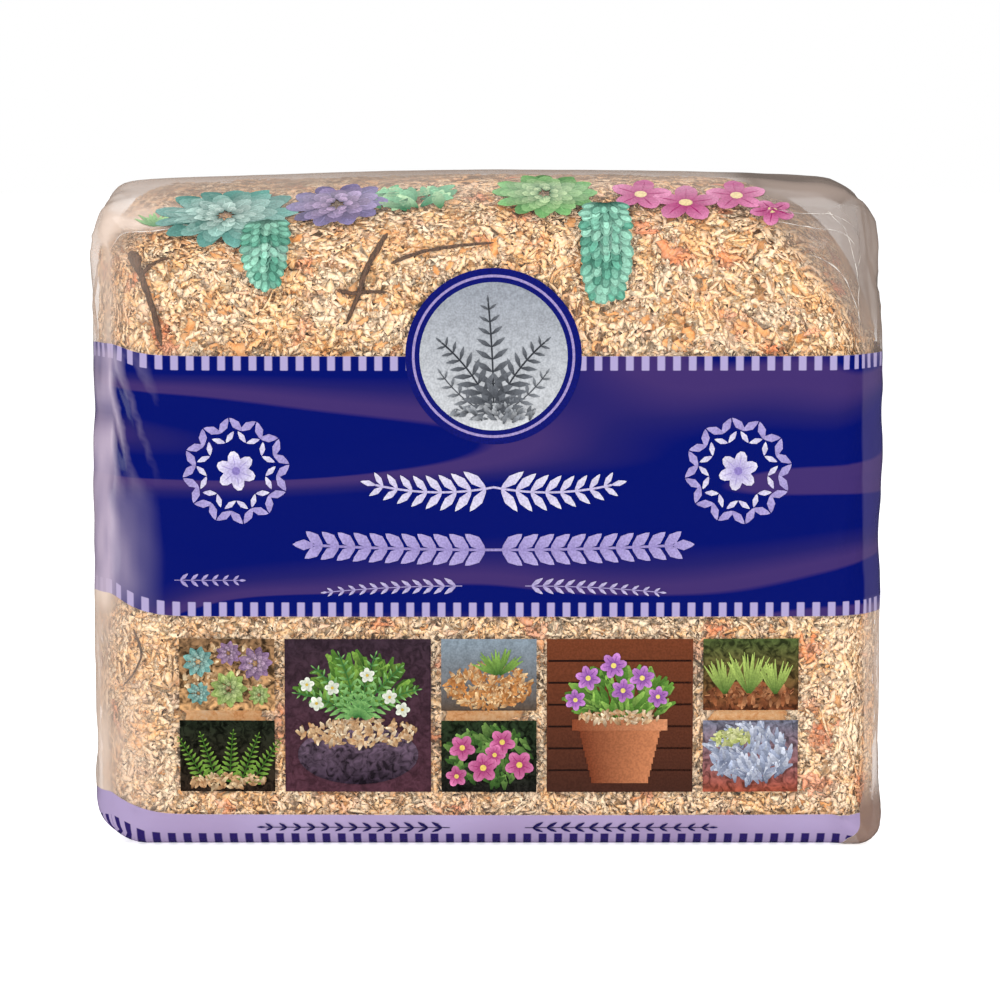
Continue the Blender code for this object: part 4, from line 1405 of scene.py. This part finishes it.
    @staticmethod
    def top_plants(printer: PlantPrinter) -> None:
        """Prints rosettes, blossoms and trails of leaves over the top edge."""
        green = ("1f5a50", "78b3a8", "cfe3d8")
        dusk = ("3c3358", "8f84ac", "c9a9cc")
        fresh = ("2c6a3c", "86bd78", "d3e3b2")
        printer.rosette((-0.0820, 0.2125), 0.0230, 13, 6, green, 1, 0.85)
        printer.rosette((-0.0470, 0.2140), 0.0160, 10, 5, dusk, 2, 0.85)
        printer.fan((-0.1040, 0.2050), 0.0120, 9, 0.0030, ("3c7a4c", "a5cf8c"), 1, 0.9)
        printer.clump((-0.0260, 0.2150), (0.030, 0.010), 46, (0.0085, 0.0034), ("2c6a4c", "3a7a50"),
                      ("8cc79a", "b9dfae"), 1, 0.6, Stamp.PETAL)
        for x, z, radius in ((0.0620, 0.2100, 0.0105), (0.0780, 0.2150, 0.0095), (0.0480, 0.2150, 0.0095),
                             (0.0890, 0.2055, 0.0070)):
            printer.blossom((x, z), radius, 5, ("a8246c", "e58fb8", "f0d7a0"), 2, Stamp.PETAL)
        printer.rosette((0.0180, 0.2150), 0.0165, 12, 6, fresh, 1, 0.85)
        printer.tendril((-0.0690, 0.2030), 0.0230, 0.0170, 7)
        printer.tendril((0.0370, 0.2050), 0.0290, 0.0180, 7)


class StrandKind(Enum):
    """The kinds of scrap that the moss is made of."""

    LEAFY = "a branch with its leaves pressed along it"
    RIBBON = "a long thin curled leaf"
    FLAKE = "a short broad scrap"
    FIBRE = "a bare thread of stem"
    MAT = "a flattened tuft, deep down"


@dataclass(frozen=True)
class StrandShape:
    """One scrap of moss lying along X, 1 long and about 1 to each side, to be copied."""

    cuts: int
    waist: float
    notch: float
    sweep: float
    slant: float = 0.6

    def model(self) -> tuple[Array, Array]:
        """Models the scrap as a thin slanted blade whose edges stand out by turns, as leaves do on a stem.

        Returns:
            Its vertices and its triangles.
        """
        points, faces = Modeller.cut_rod(3, self.cuts)
        run, side = points[:, 0].copy(), -points[:, 2]
        ring = np.rint((run + 0.5) * (self.cuts + 1)).astype(int)
        taper = np.clip(1 - np.abs(2 * run) ** self.waist, 0.08, 1)
        stands_out = np.where(ring % 2 == 0, side < -0.4, side > 0.4)
        reach = np.where(~stands_out, 1 - self.notch, 1)
        points[:, 0] = run + np.where(stands_out, self.sweep / (self.cuts + 1), 0) * taper
        points[:, 1] = side * taper * reach
        points[:, 2] = self.slant * points[:, 1] * taper
        return points, faces


SHAPES = {
    StrandKind.LEAFY: StrandShape(6, 2.4, 0.55, 0.7),
    StrandKind.RIBBON: StrandShape(6, 1.8, 0.25, 0.4),
    StrandKind.FLAKE: StrandShape(4, 1.6, 0.40, 0.5),
    StrandKind.FIBRE: StrandShape(5, 6.0, 0.0, 0.0),
    StrandKind.MAT: StrandShape(4, 2.6, 0.45, 0.6),
}


@dataclass(frozen=True)
class StrandMix:
    """How common a kind of strand is, and its sizes."""

    kind: StrandKind
    share: float
    lengths: Pair
    widths: Pair
    paler: float = 0.0
    sunk: float = 1.0


MIXTURE = (
    StrandMix(StrandKind.LEAFY, 0.46, (0.0045, 0.0098), (0.0024, 0.0040)),
    StrandMix(StrandKind.RIBBON, 0.14, (0.0045, 0.0100), (0.0012, 0.0022), 0.05),
    StrandMix(StrandKind.FLAKE, 0.23, (0.0030, 0.0060), (0.0024, 0.0040), 0.03),
    StrandMix(StrandKind.FIBRE, 0.02, (0.0060, 0.0130), (0.0003, 0.0005), -0.35),
    StrandMix(StrandKind.MAT, 0.15, (0.0090, 0.0160), (0.0055, 0.0085), 0.02, 0.30),
)


@dataclass
class MossCoat:
    """Strands laid over one part of the bale, in layers from the core out to the film."""

    name: str
    low: Pair
    high: Pair
    count: int
    seed: int
    on_top: bool = False
    coarse: float = 1.0
    bare: tuple = ()
    twigs: bool = False
    deepest: float = 0.0026
    shallowest: float = 0.0011
    deepest_tuft: float = 0.0075
    tip_rise: float = 0.0004
    softness: float = 0.00025
    leaf_pitch: float = 0.0013
    patterns: tuple[Pair, ...] = ((0.022, 11.0), (0.012, 31.0), (0.009, 51.0))

    def corner(self, first: Array, second: Array) -> Array:
        """Points of the plain box for places on the flat patch."""
        if not self.on_top:
            return FORM.wrap(first, second)
        x = np.clip(first, -FORM.half_width, FORM.half_width)
        y = np.clip(second, -FORM.half_depth, FORM.half_depth)
        return np.stack([x, y, np.full_like(x, FORM.height)], axis=1)

    def under_print(self, middle: Array) -> Array:
        """Says which places on the flat patch an opaque print hides.

        Args:
            middle: Way round and height of each place.

        Returns:
            True where a strand would never be seen.
        """
        hidden = np.zeros(len(middle), bool)
        for left, low, right, high in self.bare:
            x = middle[:, 0] - FORM.half_width
            hidden |= (x > left) & (x < right) & (middle[:, 1] > low) & (middle[:, 1] < high)
        return hidden

    def build(self, material: bpy.types.Material) -> None:
        """Lays the strands and makes them one piece of the moss's material."""
        draw = np.random.default_rng(self.seed)
        low, high = np.array(self.low), np.array(self.high)
        middle = low + (high - low) * draw.random((4 * self.count, 2))
        middle = middle[~self.under_print(middle)][: self.count]
        where = self.corner(*middle.T)
        lean, clump, patch = (waves(where, (reach,) * 3, shift) for reach, shift in self.patterns)
        layer = draw.random(self.count)
        if self.twigs:
            layer *= 0.25 + 0.75 * smooth((Debris.away(middle - (FORM.half_width, 0)) - 0.0010) / 0.0035)
        order = np.argsort(layer)
        kinds = draw.choice(len(MIXTURE), self.count, p=[mix.share for mix in MIXTURE])
        batch = Batch()
        for number, mix in enumerate(MIXTURE):
            chosen = order[kinds[order] == number]
            places = (values[chosen] for values in (middle, lean, clump, patch, layer))
            batch.gather(*self.lay(mix, draw, *places))
        Modeller.finish(batch.piece(self.name), material, "dry_moss", "moss_bale")

    def lay(self, mix: StrandMix, draw: np.random.Generator, middle: Array, lean: Array,
            clump: Array, patch: Array, layer: Array) -> tuple[Array, ...]:
        """Copies one kind of strand to its places.

        Args:
            mix: The kind and its sizes.
            draw: The seeded draw.
            middle: The strands' middles on the flat patch.
            lean: The slow turn of the strands there.
            clump: Light and dark clumps, from -1 to 1.
            patch: Rusty patches, from -1 to 1.
            layer: How far out each strand lies, from 0 to 1.

        Returns:
            Vertices, triangles and tints.
        """
        shape, triangles = SHAPES[mix.kind].model()
        count, each = len(middle), len(shape)
        run, side, rise = shape[:, 0][None], shape[:, 1][None], shape[:, 2][None]
        layer = layer * mix.sunk
        length = draw.uniform(*mix.lengths, count)[:, None] * self.coarse
        width = draw.uniform(*mix.widths, count)[:, None] / 2 * self.coarse
        turn = (2.2 * math.pi * lean + draw.normal(0, 0.85, count))[:, None]
        bend = draw.normal(0, 120 * mix.sunk, (count, 1))
        curl = draw.uniform(0.0001, 0.0009, (count, 1))
        tip = draw.normal(0, 0.06, (count, 1))
        roll = draw.normal(0, 0.22, (count, 1)) + run * draw.normal(0, 0.9, (count, 1))
        roll *= mix.sunk
        thick = width * draw.uniform(0.18, 0.40, count)[:, None] * mix.sunk
        flat = side * width * np.cos(roll) - rise * thick * np.sin(roll)
        high = side * width * np.sin(roll) * 0.6 + rise * thick * np.cos(roll)
        along = run * length
        half = along * bend / 2
        chord = along * np.sinc(half / math.pi)
        ahead = chord * np.cos(half) - flat * np.sin(2 * half)
        aside = chord * np.sin(half) + flat * np.cos(2 * half)
        high = high - curl * (2 * run) ** 2 + tip * along
        base = self.deepest + (self.shallowest + self.tip_rise - self.deepest) * layer**0.55
        depth = base[:, None] + 0.0007 * clump[:, None] - high
        depth = self.shallowest + np.logaddexp(0, (depth - self.shallowest) / self.softness) * self.softness
        corner = self.corner(*spread_out(middle, turn, ahead, aside).T)
        depth = np.minimum(depth, self.deepest_tuft).ravel() + FOLDS.pulled_in(corner)
        points = FORM.slumped(FORM.place(corner, depth, 0.0))
        # Painted shade and light: strands deeper down are darker, and each blade is lighter on its side
        # nearer the film and darker towards its curled-down ends. Clumps, noise and the kind vary the tone at
        # random.
        tone = 0.74 + 0.12 * layer + 0.32 * clump + draw.normal(0, 0.10, count) + mix.paler
        tone = tone[:, None] + 0.08 * rise - 0.06 * np.abs(2 * run) ** 2
        rust = smooth((patch - 0.36) / 0.30) * 0.70 + np.abs(draw.normal(0, 0.14, count))
        tints = np.empty((count, each, 4))
        tints[..., 0] = np.clip(tone, 0.0, 1.0)
        tints[..., 1] = np.clip(rust, 0, 1)[:, None]
        tints[..., 2] = (run + 0.5) * length / self.leaf_pitch
        tints[..., 3] = np.abs(side)
        return points, copied(triangles, each, count), tints.reshape(-1, 4)


@dataclass
class MossBale:
    """The bale: a lumpy core, and coats of strands wherever the film is clear."""

    cuts: tuple[int, int, int] = (84, 28, 70)
    pictures: tuple = ((-0.0975, 0.0215, -0.0700, 0.0650), (-0.0630, 0.0215, -0.0220, 0.0650),
                       (-0.0145, 0.0215, 0.0120, 0.0650), (0.0195, 0.0215, 0.0605, 0.0650),
                       (0.0685, 0.0215, 0.0955, 0.0650))
    core_depth: float = 0.0028
    core_lumps: float = 0.0006
    finish: DriedSphagnum = DriedSphagnum()

    def coats(self) -> list[MossCoat]:
        """The coats, from the front round to the top."""
        wide, deep, high = 2 * FORM.half_width, 2 * FORM.half_depth, FORM.height
        back, left = wide + deep, 2 * wide + deep
        return [
            MossCoat("moss_front_low", (-0.012, 0.008), (wide + 0.012, 0.078), 4600, 11, twigs=True,
                     bare=self.pictures),
            MossCoat("moss_front_high", (-0.012, 0.153), (wide + 0.012, high + 0.016), 4700, 12, twigs=True),
            MossCoat("moss_back_low", (back, 0.008), (left, 0.078), 1900, 13, coarse=1.25),
            MossCoat("moss_back_high", (back, 0.153), (left, high + 0.006), 1900, 14, coarse=1.25),
            MossCoat("moss_right_end_low", (wide + 0.006, 0.008), (back, 0.078), 800, 15, coarse=1.15),
            MossCoat("moss_right_end_high", (wide + 0.006, 0.153), (back, high), 700, 16, coarse=1.15),
            MossCoat("moss_left_end_low", (left, 0.008), (FORM.girth - 0.006, 0.078), 800, 17, coarse=1.15),
            MossCoat("moss_left_end_high", (left, 0.153), (FORM.girth - 0.006, high), 700, 18, coarse=1.15),
            MossCoat("moss_top", (-0.121, -0.030), (0.121, 0.038), 2200, 19, on_top=True, coarse=1.2),
        ]

    def build(self) -> None:
        """Models the core and lays the coats over it."""
        material = self.finish.make()
        core = Modeller.cut_box("moss_core", FORM.size, self.cuts)
        corner = Modeller.points(core)
        lump = waves(corner, (0.006, 0.006, 0.006), 6.0)
        depth = self.core_depth + self.core_lumps * lump + FOLDS.pulled_in(corner)
        Modeller.move(core, FORM.slumped(FORM.place(corner, depth, 0.0)))
        tints = np.ones((len(corner), 4))
        tints[:, 0] = 0.60 + 0.25 * lump
        tints[:, 1] = 0.15
        Modeller.tint(core, tints)
        Modeller.finish(core, material, "dry_moss", "moss_bale")
        for coat in self.coats():
            coat.build(material)


@dataclass(frozen=True)
class Route:
    """A smooth line over the front, through a few knots of X and height."""

    knots: tuple
    crook: float = 0.0008
    crook_size: float = 0.006

    def line(self, shares: Array) -> Array:
        """Points of the line, a little crooked.

        Args:
            shares: How far along each point lies, from 0 to 1.

        Returns:
            X and height of each point.
        """
        bent = []
        for x, z in self.knots:
            bent.append((x + self.crook * noise.noise(Vector((x, 0, z)) / self.crook_size), z))
        knots = np.array([bent[0], *bent, bent[-1]])
        place = np.clip(shares, 0, 0.99999) * (len(self.knots) - 1)
        first = place.astype(int)
        t = (place - first)[:, None]
        a, b, c, d = (knots[first + step] for step in range(4))
        return b + 0.5 * t * (c - a + t * (2 * a - 5 * b + 4 * c - d + t * (3 * (b - c) + d - a)))

    def rod(self, sides: int, cuts: int) -> tuple[Array, Array, Array, Array]:
        """Models a rod 1 in radius that runs along the line.

        Args:
            sides: How many sides it has.
            cuts: How many cuts it has along its length.

        Returns:
            For each vertex, how far along it lies, how far aside and how far out, N by 3, with the line's
            own points and its headings, each N by 2, and the rod's triangles.
        """
        points, faces = Modeller.cut_rod(sides, cuts)
        points += (0.5, 0, 0)
        middle = self.line(points[:, 0])
        ahead = self.line(points[:, 0] + 0.01) - self.line(points[:, 0] - 0.01)
        return points * (1, 1, -1), middle, ahead / np.linalg.norm(ahead, axis=1)[:, None], faces

    @staticmethod
    def beside(middle: Array, ahead: Array, side: Array) -> Array:
        """Points of the plain box that lie side to the left of the line's own points."""
        x = middle[:, 0] - ahead[:, 1] * side
        z = middle[:, 1] + ahead[:, 0] * side
        return FORM.wrap(x + FORM.half_width, z)


@dataclass(frozen=True)
class Twig:
    """A bit of stem or bark caught against the film."""

    name: str
    nodes: tuple[str, ...]
    radius: float
    knots: tuple
    flat: float = 1.0
    head: float = 0.0
    sides: int = 8
    cuts: int = 34
    cover: float = 0.0009
    shallowest: float = 0.0008

    def model(self) -> tuple[Array, Array]:
        """Models the twig as a knobbly rod, drawn along its line just under the film.

        Returns:
            Its vertices and its triangles.
        """
        points, middle, ahead, faces = Route(self.knots).rod(self.sides, self.cuts)
        share = points[:, 0]
        ring = np.stack([share * 40, points[:, 1], points[:, 2]], axis=1)
        knobs = 1 + 0.45 * waves(ring, (3.0, 1.2, 1.2), 3.3) + 0.30 * waves(ring, (0.9, 0.8, 0.8), 8.3)
        end = np.minimum(share, 1 - share)
        taper = (0.30 + 0.70 * smooth(end / 0.08)) * (1.15 - 0.50 * share)
        wide = self.flat + self.head * np.exp(-(((share - 0.16) / 0.14) ** 2))
        thick = self.radius / math.sqrt(self.flat)
        side = points[:, 1] * self.radius * wide * knobs * taper
        depth = np.maximum(self.cover + thick * (1 - points[:, 2] * knobs * taper), self.shallowest)
        return FORM.place(Route.beside(middle, ahead, side), depth, 0.0), faces


@dataclass
class Debris:
    """The twigs, bark and root fibre that lie among the moss at the front."""

    finish: DryBark = DryBark()

    @staticmethod
    def twigs() -> tuple[Twig, ...]:
        """The bits, each on the line of the CAD node that it stands for."""
        return (
            Twig("bark_strip_split", ("bark_strip",), 0.0009,
                 ((-0.1135, 0.193), (-0.109, 0.184), (-0.105, 0.172), (-0.102, 0.160)), 1.3, 1.6),
            Twig("bark_strip_side", ("bark_strip",), 0.0006,
                 ((-0.1095, 0.1800), (-0.1060, 0.1850), (-0.1020, 0.1880), (-0.0985, 0.1890)), 1.2),
            Twig("forked_twig", ("twig_middle",), 0.0008,
                 ((-0.031, 0.197), (-0.037, 0.185), (-0.0405, 0.176), (-0.044, 0.167)), 1.1),
            Twig("forked_twig_cross", ("twig_middle",), 0.0006,
                 ((-0.0470, 0.1775), (-0.0420, 0.1765), (-0.0370, 0.1770), (-0.0310, 0.1768))),
            Twig("thin_twig", ("twig_thin",), 0.0006,
                 ((-0.030, 0.186), (-0.021, 0.1895), (-0.010, 0.1915), (0.002, 0.1925))),
            Twig("red_root_hair", ("root_hair",), 0.0004,
                 ((-0.112, 0.0705), (-0.109, 0.063), (-0.1115, 0.0565), (-0.117, 0.052)), sides=6),
        )

    @classmethod
    def away(cls, places: Array) -> Array:
        """How far places, X and height, lie from the nearest twig."""
        dots = np.concatenate([Route(twig.knots).line(np.linspace(0, 1, 24)) for twig in cls.twigs()])
        return np.linalg.norm(places[:, None] - dots[None], axis=2).min(axis=1)

    def build(self) -> None:
        """Models every bit."""
        material = self.finish.make()
        for twig in self.twigs():
            batch = Batch()
            batch.gather(*twig.model())
            Modeller.finish(batch.piece(twig.name), material, "bark", *twig.nodes)


@dataclass(frozen=True)
class CreaseHighlight:
    """Polyethylene along a sharp fold, with a painted highlight: a broken whitish line where the fold catches
    the light.
    """

    colour: str = "f0e8e0"
    cover: float = 0.6
    faintest: float = 0.15
    roughness: float = 0.22

    def make(self) -> bpy.types.Material:
        """The creases' material."""
        made, tree = blank("crease_highlight")
        place = add(tree, "TexCoord").outputs["Object"]
        broken = add(tree, "TexNoise", {"Vector": place, "Scale": 320.0, "Detail": 1.0})
        cover = add(tree, "MapRange", {"Value": broken, "From Min": 0.35, "From Max": 0.65,
                                       "To Min": self.faintest, "To Max": self.cover})
        white = add(tree, "BsdfPrincipled", {"Base Color": linear(self.colour), "Roughness": self.roughness})
        mixed = add(tree, "MixShader", {0: cover, 1: add(tree, "BsdfTransparent"), 2: white})
        add(tree, "OutputMaterial", {"Surface": mixed})
        return made


@dataclass
class FilmCreases:
    """The sharp creases of the loose film, as thin ridges with a painted highlight along them."""

    width: float = 0.00026
    height: float = 0.00022
    sink: float = 0.00010
    lines: tuple = (
        ((-0.1225, 0.1925), (-0.1120, 0.1985), (-0.0950, 0.2050), (-0.0600, 0.2105), (-0.0200, 0.2150)),
        ((0.0880, 0.2010), (0.0990, 0.1985), (0.1120, 0.1950), (0.1190, 0.1900)),
        ((0.1060, 0.2080), (0.1110, 0.1980), (0.1180, 0.1830), (0.1225, 0.1700)),
        ((0.1000, 0.1890), (0.1090, 0.1840), (0.1170, 0.1740), (0.1225, 0.1640)),
        ((0.0810, 0.2065), (0.0930, 0.2050), (0.1060, 0.2040), (0.1170, 0.1990)),
        ((0.1215, 0.1950), (0.1208, 0.1850), (0.1200, 0.1740), (0.1195, 0.1600)),
    )
    crook: float = 0.0012
    crook_size: float = 0.009
    lift: float = 0.00004
    finish: CreaseHighlight = CreaseHighlight()

    def build(self) -> None:
        """Models the creases as one piece."""
        batch = Batch()
        for knots in self.lines:
            rod, middle, ahead, triangles = Route(knots, self.crook, self.crook_size).rod(4, 30)
            taper = smooth(np.minimum(rod[:, 0], 1 - rod[:, 0]) / 0.25)
            side = rod[:, 1] * self.width * (0.3 + 0.7 * taper)
            rise = np.where(rod[:, 2] > 0.4, self.height * taper, 0.0) - self.sink
            batch.gather(FOLDS.skin(Route.beside(middle, ahead, side), rise + self.lift), triangles)
        Modeller.finish(batch.piece("film_creases"), self.finish.make(), "clear_film")


@dataclass
class Studio:
    """The pale floor, the soft light and the camera."""

    width_seen: float = 0.3135
    distance: float = 1.35
    elevation: float = 7.0
    aim: tuple[float, float, float] = (0.004, -0.040, 0.1115)
    lamps_aim: tuple[float, float, float] = (0.0, 0.0, 0.11)
    film_width: float = 36.0
    table_glow: float = 0.72
    sky_light: float = 0.62
    sky_mirrored: float = 0.03

    def build(self) -> None:
        """Sets up the floor, the light, the world and the camera."""
        self.floor()
        self.lamp("key_softbox", (-0.55, -1.10, 1.10), (1.0, 0.8), 13.5)
        self.lamp("fill_softbox", (0.95, -1.00, 0.55), (0.6, 0.9), 7.5, mirrored=False)
        self.lamp("top_softbox", (0.0, 0.25, 1.30), (1.1, 0.7), 6.0)
        self.lamp("edge_strip", (-1.00, -0.15, 0.13), (0.25, 0.34), 0.8)
        self.world()
        self.camera()
        bpy.context.scene.view_settings.view_transform = "Standard"

    def floor(self) -> None:
        """A pale floor that the bag stands on."""
        Modeller.clear_selection()
        bpy.ops.mesh.primitive_plane_add(size=8, location=(0, 0, 0))
        floor = bpy.context.object
        floor.name = "studio_floor"
        made, tree = blank("lit_acrylic_table")
        glow = add(tree, "BsdfPrincipled", {
            "Base Color": linear("e8e8e8"), "Roughness": 0.7, "Emission Color": (1, 1, 1, 1),
            "Emission Strength": self.table_glow,
        })
        add(tree, "OutputMaterial", {"Surface": glow})
        floor.data.materials.append(made)
        floor.visible_glossy = False

    def lamp(self, name: str, place: tuple[float, float, float], size: Pair, power: float,
             mirrored: bool = True) -> None:
        """Adds a soft lamp that faces the bag.

        Args:
            name: The lamp's name.
            place: Where it stands.
            size: Its width and height.
            power: Its power in watts.
            mirrored: True if the film shows its reflection.
        """
        lamp = bpy.data.lights.new(name, "AREA")
        lamp.shape = "RECTANGLE"
        lamp.size, lamp.size_y = size
        lamp.energy = power
        holder = bpy.data.objects.new(name, lamp)
        holder.location = place
        holder.visible_glossy = mirrored
        toward = Vector(self.lamps_aim) - Vector(place)
        holder.rotation_euler = toward.to_track_quat("-Z", "Y").to_euler()
        bpy.context.scene.collection.objects.link(holder)

    def world(self) -> None:
        """A plain white surround."""
        world = bpy.data.worlds.new("white_studio")
        world.use_nodes = True
        tree = world.node_tree
        tree.nodes.clear()
        path = add(tree, "LightPath")
        dim = add(tree, "Mix", {0: path.outputs["Is Glossy Ray"], 2: self.sky_light, 3: self.sky_mirrored})
        level = add(tree, "Mix", {0: path.outputs["Is Camera Ray"], 2: dim.outputs[0], 3: 1.0})
        sky = add(tree, "Background", {"Strength": level, "Color": (1, 1, 1, 1)})
        add(tree, "OutputWorld", {"Surface": sky})
        bpy.context.scene.world = world

    def camera(self) -> None:
        """The camera, a little above the bag and looking almost straight at its front."""
        lens = bpy.data.cameras.new("camera")
        lens.sensor_width = self.film_width
        lens.lens = self.film_width * self.distance / self.width_seen
        holder = bpy.data.objects.new("camera", lens)
        tilt = math.radians(self.elevation)
        back = Vector((0, -math.cos(tilt), math.sin(tilt)))
        holder.location = Vector(self.aim) + back * self.distance
        holder.rotation_euler = (-back).to_track_quat("-Z", "Y").to_euler()
        bpy.context.scene.collection.objects.link(holder)
        bpy.context.scene.camera = holder


def main() -> None:
    """Builds the pieces in order."""
    logging.basicConfig(level=logging.INFO, format="%(message)s")
    PrintedFilm().build()
    Artwork().build()
    MossBale().build()
    Debris().build()
    FilmCreases().build()
    Studio().build()


if __name__ == "__main__":
    main()
